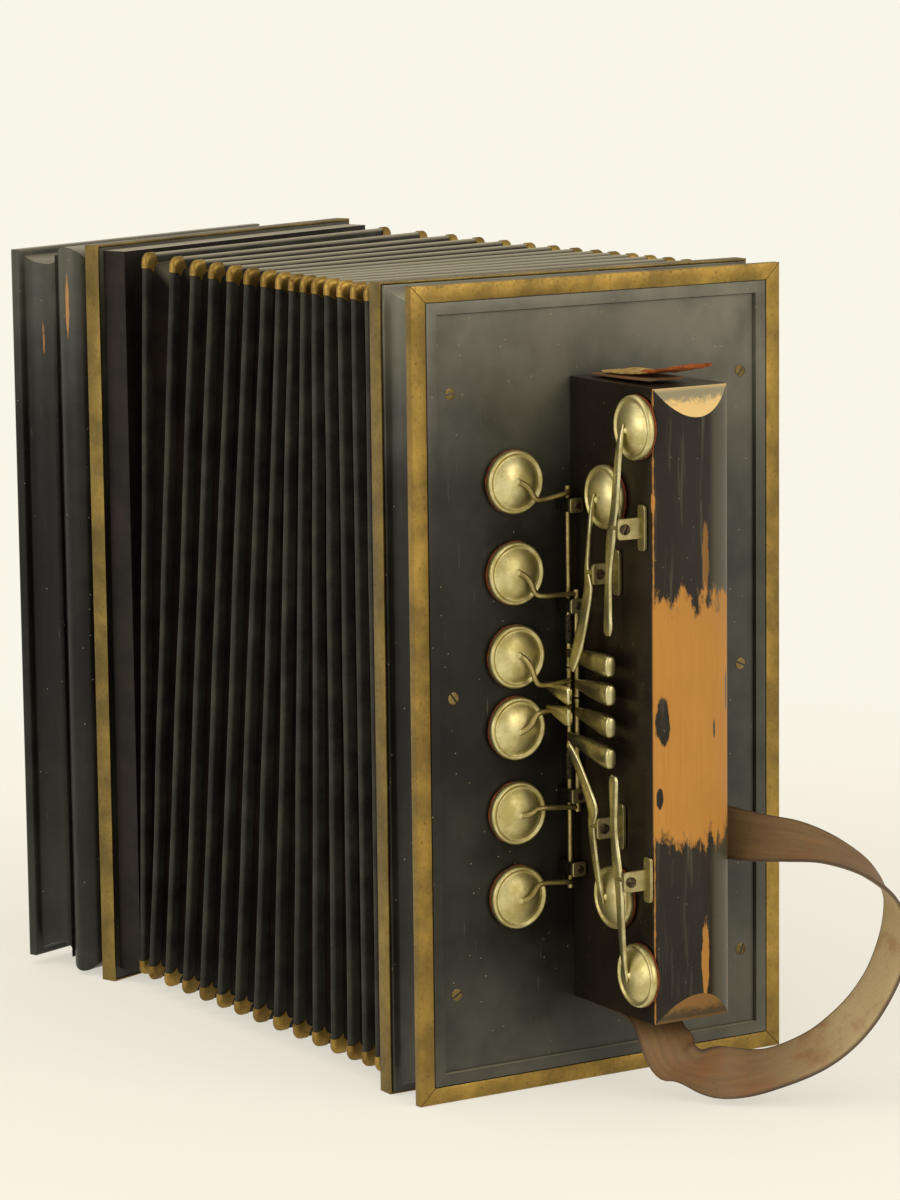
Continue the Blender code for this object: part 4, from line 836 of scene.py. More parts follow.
def loop_round(inset, per_side=16, per_corner=5):
    """(y, z) points round a fold at an inset, with soft corners."""
    corners = []
    for quarter in range(4):
        y, z = corner_middle(inset, quarter)
        rounding = arc(90 * quarter - 90, 90, per_corner)
        corners.append([(y + CORNER_RADIUS * a, z + CORNER_RADIUS * b) for a, b in rounding])
    points = []
    for quarter, corner in enumerate(corners):
        (y, z), (next_y, next_z) = corner[-1], corners[(quarter + 1) % 4][0]
        shares = [i / per_side for i in range(1, per_side)]
        points += corner + [(y + (next_y - y) * t, z + (next_z - z) * t) for t in shares]
    return points


def corner_point(inset, quarter, t):
    """A point on the way round one corner of a fold, from the cap's end on one side to that on the other."""
    y, z = corner_middle(inset, quarter)
    start = math.radians(90 * quarter - 90)
    angle = start + math.radians(90) * min(1.0, max(0.0, (t - 0.2) / 0.6))
    straight = max(0.0002, CAP_REACH - CORNER_RADIUS - inset)
    before = straight * max(0.0, (0.2 - t) / 0.2)
    after = straight * max(0.0, (t - 0.8) / 0.2)
    y += CORNER_RADIUS * math.cos(angle) + before * math.sin(start) - after * math.cos(start)
    z += CORNER_RADIUS * math.sin(angle) - before * math.cos(start) - after * math.sin(start)
    return y, z


def on_fold(plane, number, offset, y, z, share=1.0):
    """A point of a fold, with a share of the way its ridge strays along the bellows, being made by hand."""
    sway = 0.00055 * noise.noise(Vector((number * 5.7, y * 20, z * 20)))
    return plane @ Vector((offset + sway * share, y, z))


def bead_section(grow=0.0, deep=BEAD_DEEP):
    """The pressed edge of a fold in section, as (offset along the bellows, inset)."""
    radius = BEAD_HALF + grow
    bead = [(radius * b, BEAD_HALF - radius * a) for a, b in arc(-90, 180, 8)]
    halfway = (deep + BEAD_HALF) / 2
    return [(-radius, deep), (-radius, halfway), *bead, (radius, halfway), (radius, deep)]


def make_ridge(number):
    """One fold's pressed edge: the cloth rolled over two cards, with a brass cap on each corner."""
    body = f"fold_{number:02d}"
    plane = fold_plane((number - 0.5) / FOLDS)
    section = bead_section()
    loops = [loop_round(inset) for _, inset in section]
    rings = [
        [on_fold(plane, number, offset, *loop[i]) for (offset, _), loop in zip(section, loops)]
        for i in range(len(loops[0]))
    ]
    edge = skin(rings, "joined")
    node = f"bellows_fold_{number:02d}"
    make_piece(f"fold_edge_{number:02d}", edge, RIDGE_CLOTH, body, SOFT, node)
    section = bead_section(CAP_SHEET, 0.0040)
    caps = []
    for quarter in range(4):
        caps.append(skin([
            [
                on_fold(plane, number, offset, *corner_point(inset, quarter, step / 9))
                for offset, inset in section
            ]
            for step in range(10)
        ]))
    make_piece(f"fold_caps_{number:02d}", together(*caps), CAP_BRASS, body, ROUNDED)


def wall_half(number, valley):
    """One wall of a fold from its ridge down to the valley: (plane, inset, ridge, share of the way)."""
    ridge = (number - 0.5) / FOLDS
    half = (fold_plane(ridge).translation - fold_plane(valley).translation).length
    top = 0.0028
    stations = []
    for inset in (top, 0.0045, 0.0062, 0.0085, 0.0108, 0.0130, 0.0150, 0.0166, 0.0176, FOLD_DEPTH):
        drop = (inset - top) / (FOLD_DEPTH - top)
        share = (0.0009 + (half - 0.0009) * (0.25 * drop + 0.75 * drop**1.9)) / half
        stations.append((fold_plane(ridge + (valley - ridge) * share), inset, number, share))
    return stations


def bending_span(u_low, u_high):
    """Where a wall's bending starts and ends: square to the fold and clear of both ridges all round."""
    low, middle, high = (fold_plane(u) for u in (u_low, (u_low + u_high) / 2, u_high))
    along = middle.to_3x3() @ Vector((1, 0, 0))
    if along.dot(high.translation - low.translation) < 0:
        along = -along
    corners = [Vector((0, y, z)) for y in (-HALF_WIDTH, HALF_WIDTH) for z in (-HALF_HEIGHT, HALF_HEIGHT)]
    before = max((low @ corner - middle.translation).dot(along) for corner in corners)
    after = min((high @ corner - middle.translation).dot(along) for corner in corners)
    return middle.translation + along * before + SHIFT, middle.translation + along * after + SHIFT


def make_fold_wall(index):
    """The cloth-covered walls between two ridges, down to the valley and up again."""
    halves = wall_half(index, index / FOLDS) if index > 0 else []
    if index < FOLDS:
        up = wall_half(index + 1, index / FOLDS)[::-1]
        halves += up[1:] if halves else up
    layers = [[loop_round(inset + deep) for _, inset, _, _ in halves] for deep in (0.0, CARD * 0.9)]
    rings = []
    for i in range(len(layers[0][0])):
        front, back = [
            [
                on_fold(plane, ridge, 0.0, *loop[i], 1 - share)
                for (plane, _, ridge, share), loop in zip(halves, loops)
            ]
            for loops in layers
        ]
        rings.append(front + back[::-1])
    walls = skin(rings, "joined")
    wall = make_piece(f"fold_wall_{index:02d}", walls, FOLD_CLOTH, None, SOFT)
    start, end = bending_span(max(0.0, (index - 0.5) / FOLDS), min(1.0, (index + 0.5) / FOLDS))
    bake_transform(wall)


# The bass end


def make_bass_frame():
    """The moulded wooden frame, its brass angle strip and its rear band, mitred at the corners."""
    step = TRIM_THICK + GAP
    cove_start = BRASS_SIDE + 0.0016
    cove_end = BASS_DEPTH - BASS_BAND - 0.0010
    middle = (cove_start + cove_end) / 2
    half = (cove_end - cove_start) / 2
    cove = [(-(middle - half * a), step + BASS_COVE_DEPTH * b) for a, b in arc(0, 180, 16)]
    ledge = -(PANEL_RECESS + PANEL_THICK + GAP)
    profile = [
        (ledge, BASS_WALL), (ledge, BRASS_FACE + BORDER), (0.0, BRASS_FACE + BORDER),
        (0.0, BRASS_FACE + GAP), (-step, BRASS_FACE + GAP), (-step, step), (-BRASS_SIDE - GAP, step),
        *cove, (-BASS_DEPTH, step), (-BASS_DEPTH, BASS_WALL),
    ]
    make_moulding("bass_frame_wood", "bass_frame", "bass_end", profile, 0.00022, LACQUER, CRISP)
    angle_strip = [
        (0.0, 0.0), (0.0, BRASS_FACE), (-TRIM_THICK, BRASS_FACE), (-TRIM_THICK, TRIM_THICK),
        (-BRASS_SIDE, TRIM_THICK), (-BRASS_SIDE, 0.0),
    ]
    make_moulding(
        "bass_edge_strip", "bass_brass_edge", "bass_end", angle_strip, 0.00028, EDGE_BRASS, CRISP, seed=3.0
    )
    start = -(BASS_DEPTH - BASS_BAND)
    band = [(start, 0.0), (start, TRIM_THICK), (-BASS_DEPTH, TRIM_THICK), (-BASS_DEPTH, 0.0)]
    make_moulding("bass_band_strip", "bass_brass_band", "bass_end", band, 0.0002, BAND_BRASS, CRISP, seed=9.0)


def make_brass_pins():
    """The small pins that hold the brass: on both sides of the edge strip and on the band."""
    sunk = 0.00014
    on_edge = -0.0021
    on_band = -0.0238
    first = 0.012
    spots = []
    for side in (-1, 1):
        y = side * (END_WIDTH / 2 - sunk)
        for i in range(8):
            z = first + (END_HEIGHT - 2 * first) * i / 7
            spots += [((on_edge, y, z), (0, side, 0)), ((on_band, y, z), (0, side, 0))]
            spots.append(((-sunk, side * (END_WIDTH / 2 - 0.0029), z), (1, 0, 0)))
    for side, z in ((-1, sunk), (1, END_HEIGHT - sunk)):
        for i in range(5):
            y = -0.056 + 0.028 * i
            spots += [((on_band, y, z), (0, 0, side)), ((-sunk, y, z - side * 0.0027), (1, 0, 0))]
    head = [(0.00045, -0.0002), (0.00045, 0.0), (0.00030, 0.00009), (0.0, 0.00012)]
    pins = [turned(head, spot, toward, 12) for spot, toward in spots]
    make_piece("brass_pins", together(*pins), SCREW_STEEL, "bass_end", 40.0)


def make_panel_screws():
    """Six slotted screws let into the panel, each at its own turn."""
    turns = iter((0.5, 2.2, 0.1, 1.2, 2.7, 0.9))
    heads = [
        slotted_head((PANEL_FACE - 0.0003, y, z), (1, 0, 0), 0.0021, 0.0006, next(turns))
        for y in (-PANEL_SCREW_Y, PANEL_SCREW_Y) for z in PANEL_SCREW_HEIGHTS
    ]
    make_piece("panel_screws", together(*heads), SCREW_BRASS, "bass_end", CRISP)


def crown(half_width, rise, steps):
    """The crowned front in plan: (height above the edges, y) from one edge to the other."""
    radius = (half_width**2 + rise**2) / (2 * rise)
    reach = math.asin(half_width / radius)
    angles = [-reach + 2 * reach * i / steps for i in range(steps + 1)]
    return [(radius * math.cos(angle) - radius + rise, radius * math.sin(angle)) for angle in angles]


def make_hand_box():
    """The hollow hand box: crowned front, eased arrises, and a chamfer across the crown at each end."""
    front = crown(BOX_WIDTH / 2, BOX_CROWN, 28)
    outline = [(BOX_BACK, -BOX_WIDTH / 2), *((BOX_FRONT + x, y) for x, y in front), (BOX_BACK, BOX_WIDTH / 2)]
    outline = eased(outline, 0.0005)
    mesh = bmesh.new()
    rows = []
    for z in (BOX_BOTTOM, BOX_TOP):
        rows.append([mesh.verts.new((x, y + BOX_CENTRE_Y, z)) for x, y in outline])
    count = len(outline)
    for i in range(count):
        j = (i + 1) % count
        mesh.faces.new((rows[0][i], rows[0][j], rows[1][j], rows[1][i]))
    mesh.faces.new(rows[0][::-1])
    mesh.faces.new(rows[1])
    for end, side in ((BOX_TOP, 1), (BOX_BOTTOM, -1)):
        slope = Vector((BOX_CHAMFER, 0.0, side * BOX_CROWN)).normalized()
        cut = bmesh.ops.bisect_plane(
            mesh, geom=mesh.verts[:] + mesh.edges[:] + mesh.faces[:], plane_co=(BOX_FRONT, BOX_CENTRE_Y, end),
            plane_no=slope, clear_outer=True,
        )
        edges = [item for item in cut["geom_cut"] if isinstance(item, bmesh.types.BMEdge)]
        filled = bmesh.ops.edgeloop_fill(mesh, edges=edges)
        for face in filled["faces"]:
            face.material_index = 1
    bmesh.ops.recalc_face_normals(mesh, faces=mesh.faces)
    sharp = [
        edge for edge in mesh.edges
        if edge.is_manifold and edge.calc_face_angle() > math.radians(12)
        and abs(edge.verts[0].co.z - edge.verts[1].co.z) < 0.02
    ]
    bmesh.ops.bevel(mesh, geom=sharp, offset=0.00025, segments=2, affect="EDGES", clamp_overlap=True)
    for vertex in mesh.verts:
        vertex.co += SHIFT
    data = bpy.data.meshes.new("hand_box_wood")
    mesh.to_mesh(data)
    mesh.free()
    data.materials.append(BOX_LACQUER)
    data.materials.append(BOX_ENDS)
    data.shade_smooth()
    data.set_sharp_from_angle(angle=math.radians(24))
    box = put("hand_box_wood", data)
    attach(box, "bass_end")
    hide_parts("hand_box")


# Pads, keys and levers

# The cap's profile above the leather as (radius, height): a dome, a groove round it and a rolled rim
CAP_PROFILE = (
    (0.0, PAD_RISE), (0.0020, 0.00394), (0.0040, 0.00362), (0.0058, 0.0030), (0.0071, 0.00232),
    (0.0081, 0.00160), (0.0086, 0.00112), (0.0090, 0.00092), (0.0094, 0.00108), (0.0098, 0.0015),
    (0.0102, 0.00158), (0.0106, 0.0013), (PAD_RADIUS, 0.0006), (PAD_RADIUS, -0.0006),
    (PAD_RADIUS - 0.0002, -0.0008), (0.0, -0.0008),
)
# The drop of solder where an arm or a lever meets its cap, as (radius, height)
KEY_SOLDER = (
    (0.0, 0.0019), (0.0008, 0.0017), (0.0013, 0.0009), (0.0021, 0.0003), (0.0029, -0.0002), (0.0, -0.0004),
)
LEVER_SOLDER = ((0.0, 0.0010), (0.0007, 0.0009), (0.0013, 0.0003), (0.0018, -0.0003), (0.0, -0.0004))
# The leather disc's profile as (share of its radius, height)
DISC_PROFILE = (
    (0.002, 0.0), (0.93, 0.0), (0.98, 0.0002), (1.0, 0.0006), (0.99, 0.0009), (0.96, 0.0010), (0.002, 0.0010),
)


def make_pad(side, number, node, centre, toward, seed, solder):
    """A pad: its pressed metal cap with the arm's solder on it, and the leather disc under it, whose cut edge
    is a little uneven."""
    metal = turned([(radius, PAD_FELT + height) for radius, height in CAP_PROFILE], centre, toward, 56)
    turn = Vector(toward).to_track_quat("Z", "Y").to_matrix()
    rings = []
    for share, height in DISC_PROFILE:
        ring = []
        for a, b in circle(56):
            ragged = 1 + 0.03 * noise.noise(Vector((seed, a * 2.5, b * 2.5)))
            reach = (PAD_RADIUS + 0.0001) * share * ragged
            ring.append(Vector(centre) + turn @ Vector((reach * a, reach * b, height)))
        rings.append(ring)
    cap = together(metal, solder)
    make_piece(f"{side}_pad_cap_{number}", cap, PAD_METAL, node, ROUNDED, node)
    make_piece(f"{side}_pad_leather_{number}", skin(rings), PAD_LEATHER, node, ROUNDED)


def pressed_key(start, end, root, tip):
    """A pressed finger piece: narrow at its root, swelling to a soft square end with a flat polished face."""
    start = Vector(start)
    end = Vector(end)
    across = (end - start).normalized().cross(Vector((0, 0, 1))).normalized()
    rings = []
    for t, swell in (
        (0.0, 0.0), (0.12, 0.12), (0.3, 0.42), (0.5, 0.70), (0.7, 0.90), (0.84, 1.0), (0.92, 1.0),
        (0.96, 0.96), (0.985, 0.87), (1.0, 0.72), (1.006, 0.5),
    ):
        wide, tall = (root[k] + (tip[k] - root[k]) * swell for k in (0, 1))
        middle = start.lerp(end, t)
        rings.append([
            middle + across * (wide / 2 * a) + Vector((0, 0, tall / 2 * b)) for a, b in soft_square(28, 0.74)
        ])
    return skin(rings)


def make_rod_key(number, row):
    """One panel key: pad, bent wire arm with its solder foot, turning axle tube and finger piece."""
    name = f"bass_rod_key_{number}"
    (x, y), pad, elbow, arm, (low, high), form, (root, tip), spring_foot = row
    base = PANEL_FACE + GAP
    top = base + PAD_FELT + PAD_RISE
    over = max(top + 0.0016, x)
    away = elbow - pad
    route = through((
        (top - 0.0005, PANEL_PAD_Y - 0.0012, pad - away * 0.10),
        (top + 0.0008, PANEL_PAD_Y + 0.0002, pad),
        (top + 0.0016, PANEL_PAD_Y + 0.0024, pad + away * 0.32),
        (top + 0.0016, PANEL_PAD_Y + 0.0046, pad + away * 0.86),
        (over, PANEL_PAD_Y + 0.0080, elbow),
        (over, LOWER_AXLE[1] - 0.0018, elbow * 0.25 + arm * 0.75),
        (x, y, arm),
    ), 6)
    wire = tube(route, [WIRE_RADIUS - WIRE_TAPER * i / len(route) for i in range(len(route))], 14)
    foot = (top - 0.0010, PANEL_PAD_Y - 0.0011, pad - away * 0.10)
    solder = turned(KEY_SOLDER, foot, (1, 0.12, 0), 20)
    make_pad("panel", number, name, (base, PANEL_PAD_Y, pad), (1, 0, 0), SEED_STEP * (number - 1), solder)
    # The tube, and a collar at each of its ends and at the arm
    bars = [(low, high, AXLE_RADIUS)]
    bars += [(z - 0.0005, z + 0.0005, AXLE_RADIUS * 1.22) for z in (low + 0.0006, high - 0.0006, arm)]
    bars = [tube([Vector((x, y, foot)), Vector((x, y, head))], radius, 20) for foot, head, radius in bars]
    make_piece(f"key_rod_{number}", together(wire, *bars), ROD_METAL, name, ROUNDED)
    if form == "key":
        start = (x + 0.0002, y - 0.0003, root)
        end = (KEY_TIP_X, BOX_SIDE - LOWER_AXLE_OFF_BOX - KEY_LEAN, tip)
        finger = pressed_key(start, end, (0.0014, 0.0034), (KEY_END_WIDE, KEY_END_TALL))
    else:
        start = (x - 0.0004, y - TOUCH_OFF_AXLE + 0.0002, root)
        end = (TOUCH_TIP_X, y - TOUCH_OFF_AXLE, tip)
        finger = pressed_key(start, end, (0.0013, 0.0016), (0.0022, 0.0064))
    make_piece(f"finger_key_{number}", finger, KEY_METAL, name, SOFT)
    if spring_foot:
        # A close-wound coil round the tube
        steps = 16 * COIL_TURNS
        path = [
            Vector((x + COIL_RADIUS * math.cos(math.pi * i / 8), y + COIL_RADIUS * math.sin(math.pi * i / 8),
                    spring_foot + COIL_LENGTH * i / steps))
            for i in range(steps + 1)
        ]
        coil = tube(path, 0.0003, 6)
        make_piece(f"axle_spring_{number}", coil, SPRING_STEEL, "bass_end", SOFT)


def make_side_lever(number, points, end_bends):
    """One side lever: pad, a flat blade that runs from a thin tip on the pad to a spatula, and its pin."""
    node = f"bass_lever_{number}"
    seed = 20 + SEED_STEP * (number - 1)
    line = through([
        (x / 1000, z / 1000, width / 1000, bend / 1000)
        for (x, z, width), bend in zip(points, LEVER_ROOT_BENDS + end_bends)
    ], 5)
    rings = []
    for i, (x, z, width, bend) in enumerate(line):
        before, after = neighbours(line, i)
        along = Vector((after[0] - before[0], after[1] - before[1])).normalized()
        ends = min(1.0, 0.45 + 0.2 * min(i, len(line) - 1 - i))
        rings.append([
            Vector((
                x + along.y * width / 2 * a,
                LEVER_Y - bend + LEVER_THICK * ends / 2 * b,
                z - along.x * width / 2 * a,
            ))
            for a, b in soft_square(20, 0.62)
        ])
    toward = 1 if points[-1][1] > points[0][1] else -1
    pad_x, pad_z = points[0][0] / 1000, points[0][1] / 1000 + 0.0016 * toward
    foot = (pad_x, BOX_SIDE - GAP - PAD_FELT - PAD_RISE + 0.0003, pad_z + 0.0006 * toward)
    solder = turned(LEVER_SOLDER, foot, (0, -1, 0), 16)
    make_pad("side", number, node, (pad_x, BOX_SIDE - GAP, pad_z), (0, -1, 0), seed, solder)
    pivot_x, pivot_z = points[3][0] / 1000, points[3][1] / 1000
    ends = [Vector((pivot_x, LEVER_Y, pivot_z)), Vector((pivot_x + BRACKET_OFF_PIVOT, LEVER_Y, pivot_z))]
    blade = together(skin(rings), tube(ends, AXLE_RADIUS, 16))
    make_piece(f"lever_blade_{number}", blade, KEY_METAL, node, SOFT)
    make_bracket(number, pivot_x, pivot_z, seed)


def plate(low, high, ease):
    """A flat piece of sheet between two corners, its edges broken and its corners a little round."""
    low = Vector(low)
    high = Vector(high)
    size = high - low
    flat = min(range(3), key=lambda axis: size[axis])
    first, second = [axis for axis in range(3) if axis != flat]
    rings = []
    for level, back in ((0.0, ease), (ease, 0.0), (size[flat] - ease, 0.0), (size[flat], ease)):
        ring = []
        for a, b in soft_square(32, 0.28):
            point = (low + high) / 2
            point[flat] = low[flat] + level
            point[first] += a * (size[first] / 2 - back)
            point[second] += b * (size[second] / 2 - back)
            ring.append(point)
        rings.append(ring)
    return skin(rings)


def make_bracket(number, pivot_x, z, seed):
    """A lever's bracket: a tall foot on the box's side, an upright bent out of it, and the pivot's screw."""
    inner = pivot_x + BRACKET_OFF_PIVOT
    outer = inner + BRACKET_SHEET
    foot_y = BOX_SIDE - GAP
    front = LEVER_Y - LEVER_THICK / 2 - 0.0020
    upright = plate((inner, front, z - BRACKET_TALL / 2), (outer, foot_y, z + BRACKET_TALL / 2), 0.00018)
    foot = plate(
        (inner - 0.0008, foot_y - BRACKET_SHEET, z - BRACKET_FOOT / 2),
        (inner + 0.0034, foot_y, z + BRACKET_FOOT / 2), 0.00018,
    )
    make_piece(
        f"bracket_sheet_{number}", together(upright, foot), FITTING_METAL, "bass_end", CRISP,
        f"lever_bracket_{number}",
    )
    screw = slotted_head((outer - 0.0001, LEVER_Y, z), (1, 0, 0), 0.0018, 0.0010, seed)
    make_piece(f"bracket_screw_{number}", screw, SCREW_STEEL, "bass_end", CRISP)


def make_post(node, z):
    """An axle's bearing post: a block that holds the axles, finished near-black as painted shade for its
    unlit side, with a small plate screwed on its end.
    """
    y = (LOWER_AXLE[1] + UPPER_AXLE[1]) / 2
    top = UPPER_AXLE_X + AXLE_RADIUS + 0.0012
    sheet = 0.0009
    half = Vector((0.0, POST_DEPTH / 2, POST_WIDTH / 2))
    for part, low, high, share, finish, stands_for in (
        # The block's near-black steel is painted shade, standing in for the shade on the post's unlit side
        ("_block", PANEL_FACE + GAP, top - sheet, 0.9, SPRING_STEEL, node),
        ("_plate", top - sheet, top, 0.96, FITTING_METAL, None),
    ):
        shape = plate(Vector((low, y, z)) - half * share, Vector((high, y, z)) + half * share, 0.0002)
        make_piece(node + part, shape, finish, "bass_end", CRISP, stands_for)
    screw = slotted_head((top - 0.0001, y + 0.0003, z), (1, 0, 0), 0.0013, 0.0006, z * 900)
    make_piece(node + "_screw", screw, SCREW_STEEL, "bass_end", CRISP)


# The strap


def make_leather(name, route, per_span, width, thick, seed, cup, fray, finish, node=None):
    """A leather strip swept along a smooth route of (middle, width direction) pairs. Each point of it keeps
    its measure along and across the strip, which the cowhide's streaks follow."""
    route = list(zip(*(through([pair[k] for pair in route], per_span) for k in (0, 1))))
    outline = [(-1 + 2 * k / 9, 1) for k in range(10)] + [(1 - 2 * k / 9, -1) for k in range(10)]
    rings = []
    measures = []
    length = 0.0
    for i, (point, across) in enumerate(route):
        before, after = neighbours(route, i)
        along = (after[0] - before[0]).normalized()
        across = (across - along * across.dot(along)).normalized()
        normal = along.cross(across).normalized()
        if i:
            length += (point - route[i - 1][0]).length
        wide = width / 2 * (1 + 0.02 * noise.noise(Vector((seed, length * 60, 0.0))))
        ring = []
        for a, b in outline:
            edge = 1 - 0.45 * max(0.0, abs(a) - 0.86) / 0.14
            rough = fray * noise.noise(Vector((seed + a * 3, length * 220, b)))
            lift = thick / 2 * b * edge + cup * (a * a - 0.4) + rough
            ring.append(point + across * (wide * a + rough * 0.6) + normal * lift)
            measures += (length * 1000, a * width * 500, b)
        rings.append(ring)
    piece = make_piece(name, skin(rings), finish, "bass_end", SOFT, node)
    if finish == COWHIDE:
        run = piece.data.attributes.new("strap_run", "FLOAT_VECTOR", "POINT")
        run.data.foreach_set("vector", measures)


def make_strap():
    """The hand strap, nailed under the box with two tacks."""
    under = BOX_BOTTOM - GAP - STRAP_THICK / 2
    drop = under - STRAP_ROUTE[0][0][2] / 1000
    route = [((x / 1000, y / 1000, z / 1000 + drop), across) for (x, y, z), across in STRAP_ROUTE]
    make_leather(
        "leather_strap", route, 8, STRAP_WIDTH, STRAP_THICK, 2.0, 0.00025, 0.0, COWHIDE, "hand_strap"
    )
    head = [(0.0013, -0.0004), (0.0013, 0.0), (0.0010, 0.0004), (0.0, 0.0006)]
    face = under - STRAP_THICK / 2 - 0.0001
    tacks = [turned(head, (0.0135, y, face), (0, 0, -1), 16) for y in (-0.0050, 0.0055)]
    make_piece("strap_tacks", together(*tacks), SCREW_STEEL, "bass_end", 40.0)


def make_stub():
    """What is left of the strap's upper end: a dark lower layer, a split pale one and the torn rusty end."""
    over = BOX_TOP + GAP
    middle = BOX_CENTRE_Y - 0.0016
    finishes = (COWHIDE, TORN_PALE, TORN_RUST)
    for (name, width, thick, seed, cup, fray, per_span, line), finish in zip(STUB_LAYERS, finishes):
        route = [((x / 1000, middle + y / 1000, over + z / 1000), (0.0, 1.0, 0.0)) for x, y, z in line]
        node = "strap_stub" if finish == COWHIDE else None
        make_leather(f"strap_stub_{name}", route, per_span, width, thick, seed, cup, fray, finish, node)


# The treble end


# A button's dished head as (share of its radius, millimetres below its top)
BUTTON_HEAD = (
    (0.0, 0.4), (0.3, 0.35), (0.5, 0.3), (0.66, 0.55), (0.86, 0.8), (1.0, 1.2), (1.0, 1.5), (0.92, 1.8),
)


def make_treble():
    """The treble end's moulded wood, its brass band and the ten buttons."""
    place = treble_place()
    ring = -TREBLE_BAND / 2
    wood = TRIM_THICK + GAP
    end = ring + TREBLE_BAND - TREBLE_DEPTH
    bead = (-0.0220, -0.0075)
    cove = (end + 0.0052, bead[0] - 0.0010)
    points = [
        (TREBLE_BAND / 2, wood), (ring - 0.0006, wood), (ring - 0.0006, 0.0034), (ring - 0.0018, 0.0052),
    ]
    points += [(ring - 0.0018 - 0.0022 * b, 0.0052 + 0.0030 * (1 - a)) for a, b in arc(0, 90, 6)[1:]]
    for (low, high), steps, inset, depth in (
        (bead, 24, 0.0082, -0.0068), (cove, 18, TREBLE_INSET + 0.0014, 0.0040),
    ):
        points += [
            ((low + high) / 2 + (high - low) / 2 * a, inset + depth * b) for a, b in arc(0, 180, steps)
        ]
    ledge = end + COVER_THICK + GAP
    points += [
        (end + 0.0046, TREBLE_INSET), (end + 0.0012, TREBLE_INSET), (end, TREBLE_INSET + 0.0012),
        (end, 0.0110), (ledge, 0.0110), (ledge, TREBLE_WALL), (TREBLE_BAND / 2, TREBLE_WALL),
    ]
    make_moulding(
        "treble_frame_wood", "treble_frame", "treble_end", points, 0.0002, TREBLE_LACQUER, 32.0, place
    )
    half = TREBLE_BAND / 2
    band = [(half, 0.0), (half, TRIM_THICK), (-half, TRIM_THICK), (-half, 0.0)]
    make_moulding(
        "treble_band_strip", "treble_brass_band", "treble_end", band, 0.0002, TREBLE_BRASS, CRISP, place, 5.0
    )
    top = end - GAP - FINGERBOARD_HEIGHT
    stem_end = end - GAP - 0.003 - top - 0.0045
    lift = BUTTON_RISE
    profile = [(BUTTON_RADIUS * share, lift - below / 1000) for share, below in BUTTON_HEAD]
    profile += [(STEM_RADIUS, lift - 0.0018), (STEM_RADIUS, -stem_end), (0.0, -stem_end)]
    toward = place.to_3x3() @ Vector((-1, 0, 0))
    for i in range(BUTTONS):
        z = END_HEIGHT / 2 + (i - (BUTTONS - 1) / 2) * BUTTON_PITCH
        shape = turned(profile, place @ Vector((top, FINGERBOARD_OFFSET, z)), toward, 32)
        node = f"treble_button_{i + 1:02d}"
        make_piece(f"bone_button_{i + 1:02d}", shape, BONE, node, 45.0, node)


# Camera, lamps and floor

VIEW_AZIMUTH = math.radians(58.489)
VIEW_HEIGHT = math.radians(9.141)
VIEW_ROLL = math.radians(-0.673)
VIEW_PLACE = (1.40081, -0.84000, 0.41631)
VIEW_LENS = 136.284
SENSOR_WIDTH = 36.0


def make_camera():
    """The photograph's view: 58 degrees round from the front, 9 degrees up, from 1.7 m."""
    azimuth, height, roll = VIEW_AZIMUTH, VIEW_HEIGHT, VIEW_ROLL
    back = Vector((
        math.sin(azimuth) * math.cos(height), -math.cos(azimuth) * math.cos(height), math.sin(height)
    ))
    right = Vector((math.cos(azimuth), math.sin(azimuth), 0.0))
    up = back.cross(right)
    level = right * math.cos(roll) + up * math.sin(roll)
    upright = -right * math.sin(roll) + up * math.cos(roll)
    camera = put("camera", bpy.data.cameras.new("camera"))
    camera.data.sensor_width = SENSOR_WIDTH
    camera.data.lens = VIEW_LENS
    turn = Matrix((level, upright, back)).transposed()
    camera.matrix_world = Matrix.Translation(VIEW_PLACE) @ turn.to_4x4()
    bpy.context.scene.camera = camera


def make_lamp(name, spot, aim, size, power, colour):
    """A soft rectangular lamp that looks at a point."""
    lamp = put(name, bpy.data.lights.new(name, "AREA"))
    lamp.data.shape = "RECTANGLE"
    lamp.data.size, lamp.data.size_y = size
    lamp.data.energy = power
    lamp.data.color = linear(colour)[:3]
    lamp.location = spot
    lamp.rotation_mode = "QUATERNION"
    lamp.rotation_quaternion = (Vector(aim) - Vector(spot)).to_track_quat("-Z", "Y")


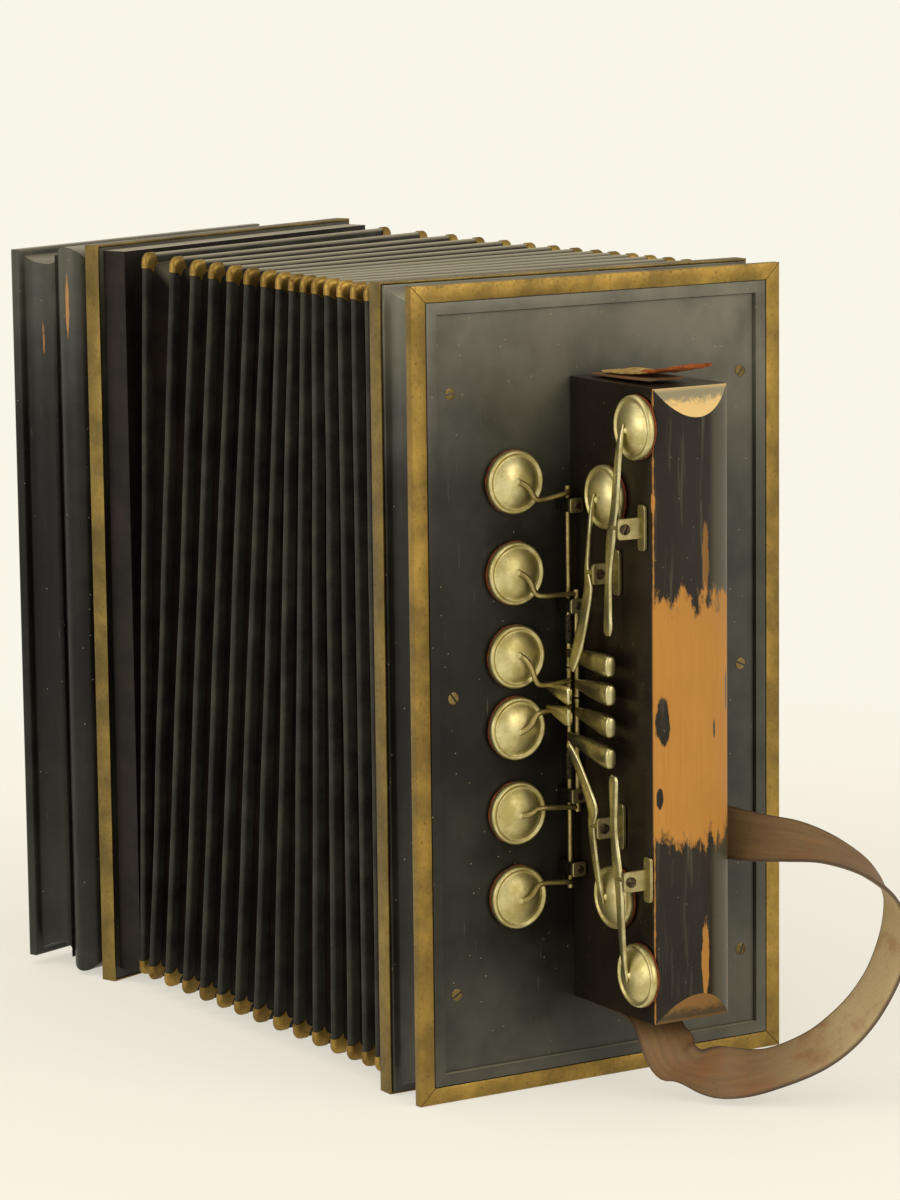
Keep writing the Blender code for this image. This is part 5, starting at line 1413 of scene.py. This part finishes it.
def make_floor():
    """A pale paper floor: near the object it is lit and shaded, further off it is even white."""
    mesh = bpy.data.meshes.new("floor")
    reach = 9.0
    corners = [(-reach, -reach, 0), (reach, -reach, 0), (reach, reach, 0), (-reach, reach, 0)]
    mesh.from_pydata(corners, [], [(0, 1, 2, 3)])
    floor = put("floor", mesh)
    floor.location.z = -0.0002
    paper = bpy.data.materials.new("paper_floor")
    paper.use_nodes = True
    tree = paper.node_tree
    shader = tree.nodes["Principled BSDF"]
    for key, value in (("Base Color", linear("faf5e8")), ("Roughness", 0.9), ("Specular IOR Level", 0.1)):
        shader.inputs[key].default_value = value
    spot = add(tree, "TexCoord", out="Object")
    far = add(tree, "VectorMath", (spot,), "Value", operation="LENGTH")
    # The floor meets the backdrop 0.5 m behind the object, seen as a faint change of tone
    toward = Vector((-math.sin(VIEW_AZIMUTH), math.cos(VIEW_AZIMUTH), 0.0))
    depth = add(tree, "VectorMath", (spot, toward), "Value", operation="DOT_PRODUCT")
    tone = stained(tree, linear("fcf8eb"), "f9f6e9", depth, 0.48, 0.53)
    glow = add(tree, "Emission", {"Color": tone, "Strength": 1.0})
    fade = add(tree, "MapRange", (far, 0.30, 0.70, 0.58, 1.0), interpolation_type="SMOOTHSTEP")
    path = add(tree, "LightPath").node.outputs
    seen = add(tree, "Math", (path["Is Camera Ray"], path["Is Glossy Ray"]), operation="MAXIMUM")
    seen = add(tree, "Math", (seen, path["Is Transmission Ray"]), operation="MAXIMUM")
    share = add(tree, "Math", (fade, seen), operation="MULTIPLY")
    mixed = add(tree, "MixShader", (share, shader.outputs[0], glow))
    tree.links.new(mixed, tree.nodes["Material Output"].inputs["Surface"])
    mesh.materials.append(paper)


def make_light():
    """Soft light from three lamps and a dim room, behind which the camera sees an even pale white."""
    world = bpy.data.worlds.new("soft_room")
    bpy.context.scene.world = world
    world.use_nodes = True
    tree = world.node_tree
    ambient = tree.nodes["Background"]
    ambient.inputs["Color"].default_value = linear("fbf6ea")
    ambient.inputs["Strength"].default_value = 0.62
    bright = add(tree, "Background", {"Color": linear("f9f6e9"), "Strength": 1.0})
    mixed = add(tree, "MixShader", (add(tree, "LightPath", out="Is Camera Ray"), ambient.outputs[0], bright))
    tree.links.new(mixed, tree.nodes["World Output"].inputs["Surface"])
    make_lamp("window", (1.75, 0.55, 0.85), (0.08, 0.0, 0.12), (1.3, 1.1), 13.5, "fff6e6")
    make_lamp("front_fill", (0.35, -1.9, 0.75), (0.0, 0.0, 0.14), (1.4, 1.2), 13.0, "fffaf0")
    make_lamp("ceiling", (-0.2, -0.5, 2.0), (0.0, 0.0, 0.1), (1.6, 1.6), 9.0, "fffaf0")


make_camera()
make_floor()
make_light()

for fold in range(1, FOLDS + 1):
    make_ridge(fold)
for wall_index in range(FOLDS + 1):
    make_fold_wall(wall_index)
make_bass_frame()
make_brass_pins()
make_panel_screws()
make_hand_box()
for key_number, key_row in enumerate(ROD_KEYS, 1):
    make_rod_key(key_number, key_row)
for lever_number, lever_row in enumerate(SIDE_LEVERS, 1):
    make_side_lever(lever_number, *lever_row)
make_strap()
make_stub()
make_treble()
for node_names, node_finish in (
    (("bass_panel", "bass_bellows_frame"), LACQUER), (("treble_cover", "fingerboard"), TREBLE_LACQUER),
    (("treble_bellows_frame",), FOLD_CLOTH),
    (("bass_reed_block", "treble_reed_block", "treble_action_board"), BARE_WOOD),
):
    for node_name in node_names:
        dress(node_name, node_finish)
for post_number, post_height in enumerate(POST_HEIGHTS, 1):
    make_post(f"rod_post_{post_number}", post_height)

bpy.context.scene.view_settings.view_transform = "Standard"
